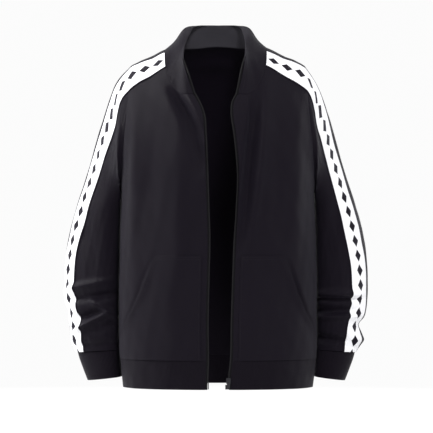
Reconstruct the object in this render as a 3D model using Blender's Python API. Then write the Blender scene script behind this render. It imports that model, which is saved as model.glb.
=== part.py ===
"""A zip jacket with a stand collar, worn open, in metres with +Z up.

The wearer faces -Y, +X is the wearer's left, and the origin is between the two points where the
collar meets the shoulders, about 1 cm below them. Every cloth piece is a wall of one thickness. Its
outer face is read from one of two surfaces, the torso or a sleeve, so that neighbours meet at their
seams.
"""

import math
from collections import namedtuple

import bpy
import numpy as np

# ---------------------------------------------------------------- driving sizes, in metres

CLOTH = 0.0020          # wall of every cloth piece
SEAM_GAP = 0.0003       # between two pieces, and under what lies on a panel
TRIM = 0.0010           # wall of the sleeve band and of the pocket piece
TAPE = 0.0008           # wall of the zip tape

HEM_Z = -0.6645         # lower edge of the hem band
HEM_SEAM_Z = -0.6075    # where the hem band joins the panels
UNDERARM_Z = -0.280     # lowest point of the armhole
NECK_SIDE_X = {-1: 0.106, 1: 0.097}  # where the collar meets the shoulder, on the right and left
ROUNDNESS = 2.4         # exponent of the torso's sections: 2 is an ellipse
FRONT_ARCH = 2.1        # exponent of the chest's curve up to the shoulder
BACK_ARCH = 2.9         # the same, over the shoulder blades
BACK_NECK_DROP = 0.256  # how far below the shoulder line, in levels, the back neck lies
BODY_CLEARANCE = 0.0022  # from the torso to the sleeve that hangs beside it
TOUCH_SOFTNESS = 0.0020  # how gently a sleeve flattens where it meets the torso
UNDERARM_EASE = 0.012   # how far below the underarm a sleeve comes clear of the torso
LEAN = 0.0035           # how much closer the wearer's left sleeve hangs, and the right further out
TWIST = {-1: 0.60, 1: 0.30}  # how far a sleeve's inner side stands in front of its crown, in half depths
SLEEVE_POWER = 0.80     # of the sine in a sleeve's rings: below 1, its front and back are flatter
TWIST_Z = -0.160        # where along its crown the twist and the flatness are complete
ARM_RADIUS = 0.056      # turns a sleeve's angles into lengths for its folds
LOOP = 360              # steps round a dense ring

TorsoRow = namedtuple("TorsoRow", "z half_width front back")
TORSO = [
    TorsoRow(-0.665, 0.1895, 0.1320, 0.121),
    TorsoRow(-0.635, 0.1930, 0.1325, 0.124),
    TorsoRow(-0.600, 0.1960, 0.1335, 0.126),
    TorsoRow(-0.520, 0.1975, 0.1350, 0.125),
    TorsoRow(-0.440, 0.1970, 0.134, 0.122),
    TorsoRow(-0.360, 0.1950, 0.134, 0.122),
    TorsoRow(-0.280, 0.1920, 0.135, 0.124),
]

# The yoke runs from the underarm, rise 0, to the shoulder line, rise 1.
YokeRow = namedtuple("YokeRow", "rise half_width armhole_x")
YOKE = [
    YokeRow(0.00, 0.1920, 0.1920),
    YokeRow(0.10, 0.1950, 0.1915),
    YokeRow(0.25, 0.1990, 0.1875),
    YokeRow(0.45, 0.2030, 0.1810),
    YokeRow(0.65, 0.2070, 0.1760),
    YokeRow(0.85, 0.2120, 0.1735),
    YokeRow(1.00, 0.2180, 0.1735),
]

RidgeRow = namedtuple("RidgeRow", "x z")
RIDGE = [
    RidgeRow(0.000, 0.0360),
    RidgeRow(0.020, 0.0345),
    RidgeRow(0.040, 0.0300),
    RidgeRow(0.060, 0.0245),
    RidgeRow(0.097, 0.0125),
    RidgeRow(0.110, 0.0070),
    RidgeRow(0.133, -0.005),
    RidgeRow(0.157, -0.015),
    RidgeRow(0.176, -0.026),
    RidgeRow(0.196, -0.044),
    RidgeRow(0.240, -0.090),
]

# Where the cloth ends beside the zip, on the wearer's right (x below 0) and left.
ZipRow = namedtuple("ZipRow", "z right_x left_x")
ZIP_EDGE = [
    ZipRow(-0.665, -0.0250, 0.0250),
    ZipRow(-0.640, -0.0245, 0.0254),
    ZipRow(-0.610, -0.0235, 0.0285),
    ZipRow(-0.532, -0.0240, 0.0305),
    ZipRow(-0.438, -0.0220, 0.0335),
    ZipRow(-0.370, -0.0205, 0.0360),
    ZipRow(-0.302, -0.0225, 0.0395),
    ZipRow(-0.238, -0.0245, 0.0415),
    ZipRow(-0.158, -0.0275, 0.0350),
    ZipRow(-0.120, -0.0320, 0.0300),
    ZipRow(-0.100, -0.0400, 0.0320),
    ZipRow(-0.084, -0.0490, 0.0400),
]

# The front neck seam, from the zip to the shoulder: how much of the way outwards, and how high.
NeckRow = namedtuple("NeckRow", "share outwards z")
FRONT_NECK = [
    NeckRow(0.00, 0.00, -0.084),
    NeckRow(0.18, 0.35, -0.0835),
    NeckRow(0.36, 0.62, -0.0730),
    NeckRow(0.55, 0.82, -0.0530),
    NeckRow(0.78, 0.97, -0.0240),
    NeckRow(1.00, 1.00, 0.0125),
]

# The collar's upper edge, from the centre back to the zip.
CollarRow = namedtuple("CollarRow", "share right_x right_z left_x left_z y roll")
COLLAR_TOP = [
    CollarRow(0.00, -0.000, 0.0605, 0.000, 0.0605, 0.050, 0.000),
    CollarRow(0.09, -0.017, 0.0607, 0.017, 0.0607, 0.050, 0.000),
    CollarRow(0.20, -0.036, 0.0600, 0.034, 0.0600, 0.045, 0.004),
    CollarRow(0.32, -0.0485, 0.0550, 0.044, 0.0550, 0.031, 0.008),
    CollarRow(0.48, -0.0555, 0.0415, 0.049, 0.0430, 0.003, 0.005),
    CollarRow(0.66, -0.0640, 0.0210, 0.053, 0.0250, -0.034, 0.002),
    CollarRow(0.84, -0.0690, 0.0010, 0.055, 0.0070, -0.067, 0.000),
    CollarRow(1.00, -0.0705, -0.0140, 0.055, -0.0090, -0.090, 0.000),
]
COLLAR_SWELL = 0.0020   # how far the collar's middle stands out
ROLL_HEIGHT = 0.8       # where the collar rolls over furthest, as a share of its height

# A sleeve's rings, each from its outermost point (crown) to its point nearest the body.
SleeveRow = namedtuple("SleeveRow", "crown_x crown_z inner_x inner_z half_depth centre_y")
SLEEVE = [
    SleeveRow(0.1780, -0.028, 0.1920, -0.280, 0.062, 0.000),  # the armhole takes its place
    SleeveRow(0.1970, -0.053, 0.1968, -0.2765, 0.063, 0.007),
    SleeveRow(0.2135, -0.088, 0.1950, -0.280, 0.064, 0.017),
    SleeveRow(0.2372, -0.160, 0.1905, -0.290, 0.065, 0.037),
    SleeveRow(0.2592, -0.236, 0.1890, -0.307, 0.064, 0.050),
    SleeveRow(0.2806, -0.300, 0.1895, -0.332, 0.062, 0.056),
    SleeveRow(0.2956, -0.355, 0.1905, -0.367, 0.060, 0.057),
    SleeveRow(0.3042, -0.410, 0.1915, -0.412, 0.058, 0.056),
    SleeveRow(0.3056, -0.460, 0.1920, -0.459, 0.056, 0.054),
    SleeveRow(0.3036, -0.505, 0.1920, -0.502, 0.054, 0.052),
    SleeveRow(0.2965, -0.545, 0.1920, -0.541, 0.052, 0.050),
    SleeveRow(0.2922, -0.579, 0.1915, -0.572, 0.046, 0.047),
    SleeveRow(0.2815, -0.5975, 0.1915, -0.5915, 0.037, 0.044),
]
CUFF_BAND = [
    SleeveRow(0.2795, -0.5980, 0.1915, -0.5920, 0.0355, 0.044),
    SleeveRow(0.2755, -0.6120, 0.1912, -0.6070, 0.0355, 0.043),
    SleeveRow(0.2680, -0.6320, 0.1905, -0.6260, 0.0345, 0.040),
    SleeveRow(0.2592, -0.6545, 0.1900, -0.6455, 0.0335, 0.038),
]

# Folds seen from the front: a trough (depth below 0) or a ridge along a bowed line.
Fold = namedtuple("Fold", "x0 z0 x1 z1 bow width depth")
FRONT_FOLDS = [
    Fold(-0.104, -0.050, -0.028, -0.250, -0.010, 0.0120, -0.0105),
    Fold(-0.082, -0.055, -0.020, -0.190, -0.004, 0.0110, 0.0030),
    Fold(-0.162, -0.040, -0.168, -0.480, 0.000, 0.0125, 0.0060),
    Fold(-0.124, -0.090, -0.128, -0.400, 0.004, 0.0170, -0.0030),
    Fold(-0.078, -0.160, -0.080, -0.500, 0.000, 0.0180, 0.0035),
    Fold(-0.104, -0.400, -0.086, -0.620, 0.000, 0.0220, 0.0030),
    Fold(0.0805, -0.045, 0.0400, -0.405, -0.0045, 0.0092, -0.0145),
    Fold(0.0970, -0.060, 0.0570, -0.430, -0.0045, 0.0100, 0.0050),
    Fold(0.060, -0.076, 0.056, -0.180, 0.000, 0.0055, 0.0035),
    Fold(0.121, -0.030, 0.115, -0.380, 0.000, 0.0150, -0.0032),
    Fold(0.158, -0.060, 0.154, -0.430, 0.000, 0.0150, 0.0036),
    Fold(0.060, -0.400, 0.070, -0.620, 0.000, 0.0220, 0.0028),
]
BACK_FOLDS = [
    Fold(-0.140, -0.060, -0.105, -0.460, 0.006, 0.0170, -0.0065),
    Fold(0.144, -0.070, 0.100, -0.480, -0.006, 0.0170, -0.0065),
    Fold(-0.072, -0.160, -0.050, -0.600, 0.006, 0.0190, 0.0040),
    Fold(0.058, -0.140, 0.078, -0.590, -0.005, 0.0190, 0.0040),
    Fold(-0.018, -0.230, 0.008, -0.620, 0.000, 0.0200, -0.0040),
    Fold(-0.075, -0.030, 0.075, -0.034, -0.014, 0.0110, -0.0035),
]

# Folds across a sleeve: height and turn, in degrees from the crown towards the front, at each end.
SleeveFold = namedtuple("SleeveFold", "z0 turn0 z1 turn1 width depth")
RIGHT_SLEEVE_FOLDS = [
    SleeveFold(-0.480, -5, -0.450, 145, 0.0075, 0.0064),
    SleeveFold(-0.494, 30, -0.474, 185, 0.0078, -0.0090),
    SleeveFold(-0.478, 72, -0.556, 180, 0.0065, 0.0066),
    SleeveFold(-0.533, 45, -0.513, 118, 0.0080, -0.0105),
    SleeveFold(-0.568, 20, -0.510, 140, 0.0050, 0.0085),
    SleeveFold(-0.556, 70, -0.530, 175, 0.0080, -0.0060),
    SleeveFold(-0.592, 5, -0.574, 180, 0.0080, -0.0050),
    SleeveFold(-0.546, -75, -0.506, 50, 0.0130, -0.0060),
    SleeveFold(-0.462, 180, -0.482, 330, 0.0090, 0.0062),
    SleeveFold(-0.506, 170, -0.490, 310, 0.0100, -0.0072),
    SleeveFold(-0.520, 190, -0.548, 330, 0.0090, 0.0062),
    SleeveFold(-0.550, 180, -0.572, 320, 0.0090, -0.0056),
    SleeveFold(-0.290, 50, -0.440, 115, 0.0170, -0.0050),
    SleeveFold(-0.210, 255, -0.440, 285, 0.0190, -0.0055),
    SleeveFold(-0.100, 60, -0.300, 100, 0.0170, -0.0045),
]
LEFT_SLEEVE_FOLDS = [
    SleeveFold(-0.482, 180, -0.479, 35, 0.0080, 0.0075),
    SleeveFold(-0.489, 180, -0.491, 30, 0.0046, -0.0080),
    SleeveFold(-0.516, 185, -0.513, 45, 0.0098, -0.0095),
    SleeveFold(-0.527, 180, -0.523, 35, 0.0058, 0.0080),
    SleeveFold(-0.564, 185, -0.580, 45, 0.0092, -0.0105),
    SleeveFold(-0.594, 180, -0.588, 20, 0.0070, -0.0040),
    SleeveFold(-0.548, -75, -0.540, 75, 0.0120, -0.0095),
    SleeveFold(-0.576, -65, -0.570, 65, 0.0080, 0.0046),
    SleeveFold(-0.462, 180, -0.484, 325, 0.0085, 0.0060),
    SleeveFold(-0.492, 175, -0.512, 325, 0.0095, -0.0072),
    SleeveFold(-0.536, 180, -0.518, 325, 0.0090, 0.0060),
    SleeveFold(-0.572, 180, -0.550, 320, 0.0090, -0.0062),
    SleeveFold(-0.260, 65, -0.430, 125, 0.0180, -0.0050),
    SleeveFold(-0.200, 260, -0.430, 290, 0.0190, -0.0055),
    SleeveFold(-0.090, 55, -0.290, 95, 0.0170, -0.0045),
]

# The band down a sleeve: how far in front of the crown its edges run, round each ring of the sleeve.
BandRow = namedtuple("BandRow", "place right_out right_in left_out left_in")
BAND = [
    BandRow(0.0, 0.020, 0.080, 0.030, 0.104),
    BandRow(1.0, 0.031, 0.117, 0.027, 0.133),
    BandRow(2.0, 0.034, 0.105, 0.028, 0.112),
    BandRow(3.0, 0.036, 0.089, 0.043, 0.097),
    BandRow(4.0, 0.031, 0.079, 0.041, 0.0855),
    BandRow(5.0, 0.027, 0.0735, 0.040, 0.082),
    BandRow(6.0, 0.0245, 0.068, 0.0385, 0.0825),
    BandRow(8.0, 0.0125, 0.0585, 0.0275, 0.073),
    BandRow(9.0, 0.0135, 0.058, 0.0265, 0.070),
    BandRow(9.8, 0.0175, 0.062, 0.027, 0.0705),
    BandRow(10.3, 0.0150, 0.0605, 0.027, 0.0695),
    BandRow(11.0, 0.0110, 0.0535, 0.022, 0.0635),
    BandRow(12.0, 0.0050, 0.039, 0.011, 0.050),
]

# How the height share t of a front runs: beside the zip, then along the neck, and on its outer edge.
PanelRow = namedtuple("PanelRow", "t zip_z neck_share outer_level")
PANEL_ROWS = [
    PanelRow(0.00, HEM_SEAM_Z, 0.000, (HEM_SEAM_Z - HEM_Z) / (UNDERARM_Z - HEM_Z)),
    PanelRow(0.55, UNDERARM_Z, 0.000, 1.000),
    PanelRow(0.74, -0.084, 0.000, 1.360),  # the neck's front corner
    PanelRow(0.76, -0.084, 0.082, 1.398),
    PanelRow(0.88, -0.084, 0.760, 1.575),  # the band's lower edge
    PanelRow(0.95, -0.084, 0.950, 1.875),  # the band's upper edge
    PanelRow(1.00, -0.084, 1.000, 2.000),  # the shoulder seam
]
ARMHOLE_T, NECK_T, BAND_LOW_T, BAND_TOP_T = 0.55, 0.74, 0.88, 0.95

# Where a sleeve's columns u meet the panels' rows t at the armhole.
SleeveColumn = namedtuple("SleeveColumn", "u t")
SLEEVE_COLUMNS = [
    SleeveColumn(0.00, 1.00),
    SleeveColumn(0.05, BAND_TOP_T),
    SleeveColumn(0.15, BAND_LOW_T),
    SleeveColumn(0.28, 0.76),
    SleeveColumn(0.30, NECK_T),
    SleeveColumn(0.50, ARMHOLE_T),
    SleeveColumn(1.00, 1.00),
]
BAND_U = (0.0, 0.05, 0.15, 0.50, 1.00)  # crown, band's edges, underarm and round to the crown

# The pocket's slanting mouth: share of a front's width at a height share.
MouthRow = namedtuple("MouthRow", "t share")
MOUTH = [
    MouthRow(0.000, 0.93),
    MouthRow(0.045, 0.93),  # where the mouth ends, beside the side seam
    MouthRow(0.100, 0.76),
    MouthRow(0.160, 0.60),
    MouthRow(0.220, 0.50),
    MouthRow(0.310, 0.40),
    MouthRow(0.346, 0.35),  # where the mouth starts, on the pocket's upper edge
    MouthRow(0.740, 0.42),
    MouthRow(1.000, 0.42),
]
MOUTH_END_T, POCKET_T = 0.045, 0.346
TAPE_U = 0.03           # inner edge of the zip tape, as a share of a front's width
TAPE_HEM_U = 0.0073     # the same on the hem band

TAPE_OUT = 0.0040       # how far the zip tape stands out of the cloth's edge
TAPE_GAP = 0.0005       # between the cloth's inner face and the tape

SLIDER_Z = -0.6470      # middle of the slider, parked above the retaining box
SLIDER_LENGTH = 0.0110
SLIDER_REACH = 0.0036   # over the tape, from the tape's edge
SLIDER_BEYOND = 0.0050  # past the tape's edge
SLIDER_PLATE = 0.0012
SLIDER_SLOT = 0.0016
SLIDER_WEB = 0.0010
BRIDGE_WIDTH = 0.0016
PIVOT_FORWARD = 0.0014  # from the slider's front plate to the pull tab's hinge line
PULL_LENGTH = 0.0155
PULL_WIDTH = 0.0062
PULL_HOLE = 0.0036      # from the hinge line to the end of the hole the bridge stands in
PULL_BAR = 0.0010
BOX_SIZE = (0.0062, 0.0036, 0.0090)
PIN_SIZE = (0.0020, 0.0020, 0.0150)


# ---------------------------------------------------------------- curves through tables

def column(table, name):
    return np.array([getattr(row, name) for row in table], float)


def curve(x, xs, ys):
    """A smooth curve through the points of a table, read at x and held level past its ends."""
    slope = np.gradient(ys, xs)
    x = np.clip(x, xs[0], xs[-1])
    i = np.clip(np.searchsorted(xs, x, side="right") - 1, 0, len(xs) - 2)
    span = xs[i + 1] - xs[i]
    t = (x - xs[i]) / span
    here = (1 + 2 * t) * (1 - t) ** 2 * ys[i] + t * (1 - t) ** 2 * span * slope[i]
    there = t * t * (3 - 2 * t) * ys[i + 1] - t * t * (1 - t) * span * slope[i + 1]
    return here + there


def read(table, key, name, x):
    return curve(np.asarray(x, float), column(table, key), column(table, name))


def signed_power(value, exponent):
    return np.sign(value) * np.abs(value) ** exponent


def spread(*stops):
    """Values from stop to stop, each given with its count of steps, such as (0, 4), (1, 6), (2,)."""
    values = [stops[0][0]]
    for (start, count), (end, *_) in zip(stops, stops[1:]):
        values += list(start + (end - start) * np.arange(1, count + 1) / count)
    return np.array(values)


# ---------------------------------------------------------------- the torso's surface

def ridge(x):
    """Height of the shoulder line at a distance from the centre."""
    return read(RIDGE, "x", "z", np.abs(x))


def level_of(z, x, arch):
    """Level of a height: 0 at the hem, 1 at the underarm, 2 on the shoulder line."""
    low = (z - HEM_Z) / (UNDERARM_Z - HEM_Z)
    rise = np.clip((z - UNDERARM_Z) / (ridge(x) - UNDERARM_Z), 0, 1)
    return np.where(z <= UNDERARM_Z, low, 1 + np.arcsin(rise ** (arch / 2)) / (math.pi / 2))


def half_width(level):
    z = HEM_Z + (UNDERARM_Z - HEM_Z) * np.clip(level, 0, 1)
    low = read(TORSO, "z", "half_width", z)
    return np.where(level <= 1, low, read(YOKE, "rise", "half_width", np.clip(level - 1, 0, 1)))


def turn_of(x, level):
    """Angle round the body, from the centre front, of a point x out on the front."""
    share = np.clip(np.abs(x) / half_width(level), 0, 1)
    return np.sign(x) * np.arcsin(share ** (ROUNDNESS / 2))


def torso_form(turn, level):
    """The torso without its folds: sections of a squared ellipse up to the underarm, then arches
    that lean in to the shoulder line."""
    z = HEM_Z + (UNDERARM_Z - HEM_Z) * np.clip(level, 0, 1)
    in_front = np.cos(turn) > 0
    depth = np.where(in_front, read(TORSO, "z", "front", z), read(TORSO, "z", "back", z))
    arch = np.where(in_front, FRONT_ARCH, BACK_ARCH)
    lean = np.clip(level - 1, 0, 1) * math.pi / 2
    across = signed_power(np.sin(turn), 2 / ROUNDNESS)
    forward = signed_power(np.cos(turn), 2 / ROUNDNESS)
    x = half_width(level) * across
    y = -depth * forward * np.abs(np.cos(lean)) ** (2 / arch)
    rise = np.abs(np.sin(lean)) ** (2 / arch)
    z = np.where(level <= 1, z, UNDERARM_Z + (ridge(x) - UNDERARM_Z) * rise)
    return np.stack([x, y, z], axis=-1)


def fold_height(folds, x, z):
    """Sum of the folds at a point, each a bell across its line that fades out at both ends."""
    total = np.zeros_like(x)
    for fold in folds:
        dx, dz = fold.x1 - fold.x0, fold.z1 - fold.z0
        length = math.hypot(dx, dz)
        along = ((x - fold.x0) * dx + (z - fold.z0) * dz) / length ** 2
        aside = ((x - fold.x0) * dz - (z - fold.z0) * dx) / length
        aside = aside - fold.bow * 4 * along * (1 - along)
        ends = np.clip(4 * along * (1 - along), 0, 1)
        total += fold.depth * ends * np.exp(-(aside / fold.width) ** 2)
    return total


def torso_out(turn, level):
    """Unit normals of the torso without its folds, level with the seam along the shoulder line."""
    turn, level = np.broadcast_arrays(np.asarray(turn, float), np.asarray(level, float))
    middle, step = np.minimum(level, 1.96), 0.01
    across = torso_form(turn + step, middle) - torso_form(turn - step, middle)
    up = torso_form(turn, middle + step) - torso_form(turn, middle - step)
    normal = np.cross(across, up)
    normal[..., 1] *= np.clip((2 - level) / 0.04, 0, 1)
    return normal / np.maximum(np.linalg.norm(normal, axis=-1, keepdims=True), 1e-12)


def torso(turn, level):
    """The torso's outer face, folds and all."""
    turn, level = np.broadcast_arrays(np.asarray(turn, float), np.asarray(level, float))
    form = torso_form(turn, level)
    x, z = form[..., 0], form[..., 2]
    front, back = fold_height(FRONT_FOLDS, x, z), fold_height(BACK_FOLDS, x, z)
    return form + torso_out(turn, level) * np.where(np.cos(turn) > 0, front, back)[..., None]


def zip_x(side, z):
    """Where the cloth ends beside the zip: side is -1 on the wearer's right, 1 on the left."""
    return read(ZIP_EDGE, "z", "left_x" if side > 0 else "right_x", z)


def armhole_turn(level):
    """Angle round the front of the side seam and, above the underarm, of the armhole."""
    x = read(YOKE, "rise", "armhole_x", np.clip(level - 1, 0, 1))
    return np.where(level <= 1, math.pi / 2, turn_of(x, level))


def front_neck(side, share):
    """(turn, level) of the front neck seam, from the zip, share 0, to the shoulder, share 1."""
    corner, tip = abs(zip_x(side, FRONT_NECK[0].z)), NECK_SIDE_X[side]
    x = corner + (tip - corner) * read(FRONT_NECK, "share", "outwards", share)
    z = read(FRONT_NECK, "share", "z", share) + (ridge(tip) - FRONT_NECK[-1].z) * share
    level = np.where(share >= 1, 2.0, level_of(z, x, FRONT_ARCH))
    return side * turn_of(x, level), level


def back_neck(x):
    """Level of the back neck seam at a distance x from the centre, below 0 on the wearer's right."""
    tip = np.where(x < 0, NECK_SIDE_X[-1], NECK_SIDE_X[1])
    return 2 - BACK_NECK_DROP * (1 - np.clip(np.abs(x) / tip, 0, 1) ** 3)


def hem_level():
    return level_of(HEM_SEAM_Z, 0.0, FRONT_ARCH)


def outer_level(t):
    """Level of a panel's outer edge, the side seam and then the armhole, at a height share t."""
    return np.interp(t, column(PANEL_ROWS, "t"), column(PANEL_ROWS, "outer_level"))


def front_panel(side, u, t):
    """(turn, level) on a front: u runs from the zip and neck, 0, to the side seam and armhole, 1,
    with the pocket's mouth at one half; t runs from the hem seam to the shoulder."""
    u, t = np.broadcast_arrays(np.asarray(u, float), np.asarray(t, float))
    zip_z = np.interp(t, column(PANEL_ROWS, "t"), column(PANEL_ROWS, "zip_z"))
    edge_x = zip_x(side, zip_z)
    edge_level = level_of(zip_z, edge_x, FRONT_ARCH)
    neck_turn, neck_level = front_neck(
        side, np.interp(t, column(PANEL_ROWS, "t"), column(PANEL_ROWS, "neck_share"))
    )
    on_neck = t > NECK_T
    turn_in = np.where(on_neck, neck_turn, turn_of(edge_x, edge_level))
    level_in = np.where(on_neck, neck_level, edge_level)
    level_out = outer_level(t)
    turn_out = side * armhole_turn(level_out)
    mouth = np.interp(t, column(MOUTH, "t"), column(MOUTH, "share"))
    s = np.where(
        u < TAPE_U,
        u,
        np.where(
            u < 0.5,
            TAPE_U + (mouth - TAPE_U) * (u - TAPE_U) / (0.5 - TAPE_U),
            mouth + (1 - mouth) * (u - 0.5) / 0.5,
        ),
    )
    return turn_in + (turn_out - turn_in) * s, level_in + (level_out - level_in) * s


def back_panel(s, t):
    """(turn, level) on the back: s runs from the wearer's right, -1, to the left, 1."""
    s, t = np.broadcast_arrays(np.asarray(s, float), np.asarray(t, float))
    tip = armhole_turn(np.asarray(2.0))
    top_x = half_width(np.asarray(2.0)) * signed_power(np.sin(s * tip), 2 / ROUNDNESS)
    beyond = (s <= neck_column(-1) + 1e-9) | (s >= neck_column(1) - 1e-9)
    top = np.where(beyond, 2.0, back_neck(top_x))
    edge = outer_level(t)
    level = hem_level() + (top - hem_level()) * (edge - hem_level()) / (2 - hem_level())
    return math.pi - s * armhole_turn(edge), level


def neck_column(side):
    """Where the neck seam ends on the back, as a column s."""
    return side * float(turn_of(NECK_SIDE_X[side], 2.0) / armhole_turn(np.asarray(2.0)))


def back_columns(outside, inside):
    """Columns of the back, with one at each end of the neck seam."""
    return spread((-1, outside), (neck_column(-1), inside), (neck_column(1), outside), (1,))


def hem_band(u, z):
    """(turn, level) on the hem band: u runs from the wearer's right zip, round the back."""
    u, z = np.broadcast_arrays(np.asarray(u, float), np.asarray(z, float))
    level = level_of(z, 0.0, FRONT_ARCH)
    start, end = turn_of(zip_x(-1, z), level), turn_of(zip_x(1, z), level)
    return start + (end - 2 * math.pi - start) * u, level


# ---------------------------------------------------------------- the sleeve's surface

def by_length(line, share):
    """Points of a line at shares of its length."""
    steps = np.linalg.norm(np.diff(line, axis=0), axis=1)
    along = np.concatenate([[0], np.cumsum(steps)])
    return np.stack([np.interp(share * along[-1], along, line[:, k]) for k in range(3)], axis=-1)


def armhole_loop(side):
    """The armhole from the shoulder down the front to the underarm and up behind, densely."""
    level = np.linspace(2, 1, LOOP // 2 + 1)
    front = torso(side * armhole_turn(level), level)
    back = torso(side * (math.pi - armhole_turn(level)), level)
    return np.concatenate([front, back[::-1][1:]])


def armhole_share(side, u):
    """Share of the armhole's length at a sleeve column, where it meets the panels' rows."""
    level = outer_level(np.interp(u, column(SLEEVE_COLUMNS, "u"), column(SLEEVE_COLUMNS, "t")))
    place = np.where(u <= 0.5, 2 - level, level)
    loop = armhole_loop(side)
    steps = np.linalg.norm(np.diff(loop, axis=0), axis=1)
    along = np.concatenate([[0], np.cumsum(steps)])
    return np.interp(place, np.linspace(0, 2, LOOP + 1), along / along[-1])


def ring(row, side):
    """One ring of a sleeve, densely: a squared ellipse from its crown round its front."""
    turn = np.linspace(0, 2 * math.pi, LOOP + 1)
    crown = np.array([row.crown_x - side * LEAN, row.centre_y, row.crown_z])
    inner = np.array([row.inner_x, row.centre_y, row.inner_z])
    loop = (crown + inner) / 2 + np.cos(turn)[:, None] * (crown - inner) / 2
    share = min(row.crown_z / TWIST_Z, 1.0)
    depth = np.sign(np.sin(turn)) * np.abs(np.sin(turn)) ** (1 + (SLEEVE_POWER - 1) * share)
    loop[:, 1] -= (depth - TWIST[side] * share * np.cos(turn) / 2) * row.half_depth
    loop[:, 0] *= side
    return loop


def tube(loops, place):
    """Dense rings at places along a table of loops, each evened out by length."""
    even = np.linspace(0, 1, LOOP + 1)
    rings = np.array([by_length(loop, even) for loop in loops])
    place = np.asarray(place, float)
    slope = np.gradient(rings, axis=0)
    i = np.clip(place.astype(int), 0, len(rings) - 2)
    t = (place - i)[:, None, None]
    near = (1 + 2 * t) * (1 - t) ** 2 * rings[i] + t * (1 - t) ** 2 * slope[i]
    return near + t * t * (3 - 2 * t) * rings[i + 1] - t * t * (1 - t) * slope[i + 1]


def pick(rings, share):
    """Points of dense rings at shares of their length: one row of shares for each ring."""
    at = share * LOOP
    i = np.clip(at.astype(int), 0, LOOP - 1)
    t = (at - i)[..., None]
    row = np.arange(len(rings))[:, None]
    return rings[row, i] * (1 - t) + rings[row, i + 1] * t


def body_side(y, z):
    """How far out the torso reaches at a depth and a height, below the underarm."""
    height = np.clip(z, HEM_Z, UNDERARM_Z)
    depth = np.where(y < 0, read(TORSO, "z", "front", height), read(TORSO, "z", "back", height))
    share = np.clip(np.abs(y) / depth, 0, 1)
    width = read(TORSO, "z", "half_width", height)
    return width * (1 - share ** ROUNDNESS) ** (1 / ROUNDNESS)


def clear_of_body(points, side):
    """Moves what would touch the torso outwards, until it is just clear of it."""
    limit = body_side(points[..., 1], points[..., 2]) + BODY_CLEARANCE
    x = side * points[..., 0]
    pushed = limit + TOUCH_SOFTNESS * np.logaddexp(0, (x - limit) / TOUCH_SOFTNESS)
    held = np.clip((UNDERARM_Z - points[..., 2]) / UNDERARM_EASE, 0, 1)
    result = points.copy()
    result[..., 0] = side * (x + (pushed - x) * held)
    return result


def sleeve_share(side, u, place, girth):
    """Share of the ring at each column: the panels' rows at the armhole, and from the upper arm on
    even steps with the band's edges at their own distance from the crown."""
    place = np.asarray(place, float)[:, None]
    end = "left" if side > 0 else "right"
    low, high = (read(BAND, "place", end + edge, place) / girth for edge in ("_out", "_in"))
    knots = np.hstack([0 * place, low, high, 0 * place + 0.5, 0 * place + 1])
    even = np.array([np.interp(u, BAND_U, row) for row in knots])
    weight = np.clip(place / 2, 0, 1)
    weight = weight * weight * (3 - 2 * weight)
    return armhole_share(side, u) * (1 - weight) + even * weight


def sleeve_folds(side, degrees, z):
    """Sum of a sleeve's folds, each a bell across its line on the unrolled sleeve."""
    total = np.zeros_like(z)
    for fold in LEFT_SLEEVE_FOLDS if side > 0 else RIGHT_SLEEVE_FOLDS:
        across = math.radians(fold.turn1 - fold.turn0) * ARM_RADIUS
        rise = fold.z1 - fold.z0
        length = math.hypot(across, rise)
        for lap in (-360, 0, 360):
            a = np.radians(degrees + lap - fold.turn0) * ARM_RADIUS
            b = z - fold.z0
            along = (a * across + b * rise) / length ** 2
            aside = (a * rise - b * across) / length
            ends = np.clip(4 * along * (1 - along), 0, 1)
            total += fold.depth * ends * np.exp(-(aside / fold.width) ** 2)
    return total


def sleeve(side, u, place):
    """A sleeve's outer face and its normals: u runs round from the crown past the front, place from
    the armhole, 0, to the cuff seam."""
    loops = [armhole_loop(side)] + [ring(row, side) for row in SLEEVE[1:]]
    rings = tube(loops, place)
    girth = np.linalg.norm(np.diff(rings, axis=1), axis=-1).sum(axis=1)[:, None]
    share = sleeve_share(side, u, place, girth)
    points = pick(rings, share)
    out = outward(points, points.mean(axis=1, keepdims=True), closed=True)
    place = np.asarray(place, float)[:, None]
    fade = np.clip(place / 0.8, 0, 1) * np.clip((len(SLEEVE) - 1 - place) / 0.6, 0, 1)
    height = sleeve_folds(side, 360 * share, points[..., 2]) * fade
    points = clear_of_body(points + out * height[..., None], side)
    if place[0] == 0:
        level = outer_level(np.interp(u, column(SLEEVE_COLUMNS, "u"), column(SLEEVE_COLUMNS, "t")))
        turn = np.where(u <= 0.5, armhole_turn(level), math.pi - armhole_turn(level))
        out[0] = torso_out(side * turn, level)
    return points, out


def cuff(side, u, place):
    rings = tube([ring(row, side) for row in CUFF_BAND], place)
    points = clear_of_body(pick(rings, np.asarray(u)[None, :] + 0 * np.asarray(place)[:, None]), side)
    return points, outward(points, points.mean(axis=1, keepdims=True), closed=True)


# ---------------------------------------------------------------- the collar

def neck_seam(front_t, back_s):
    """(turn, level) along the neck seam from the wearer's right zip to the left, at the rows of the
    fronts and the columns of the back."""
    share = np.interp(front_t, column(PANEL_ROWS, "t"), column(PANEL_ROWS, "neck_share"))
    right, left = front_neck(-1, share), front_neck(1, share[::-1])
    back = back_panel(back_s, 1.0)
    back = (back[0] - 2 * math.pi * (back[0] > math.pi), back[1])
    return [np.concatenate([right[k], back[k][1:-1], left[k]]) for k in (0, 1)]


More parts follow.
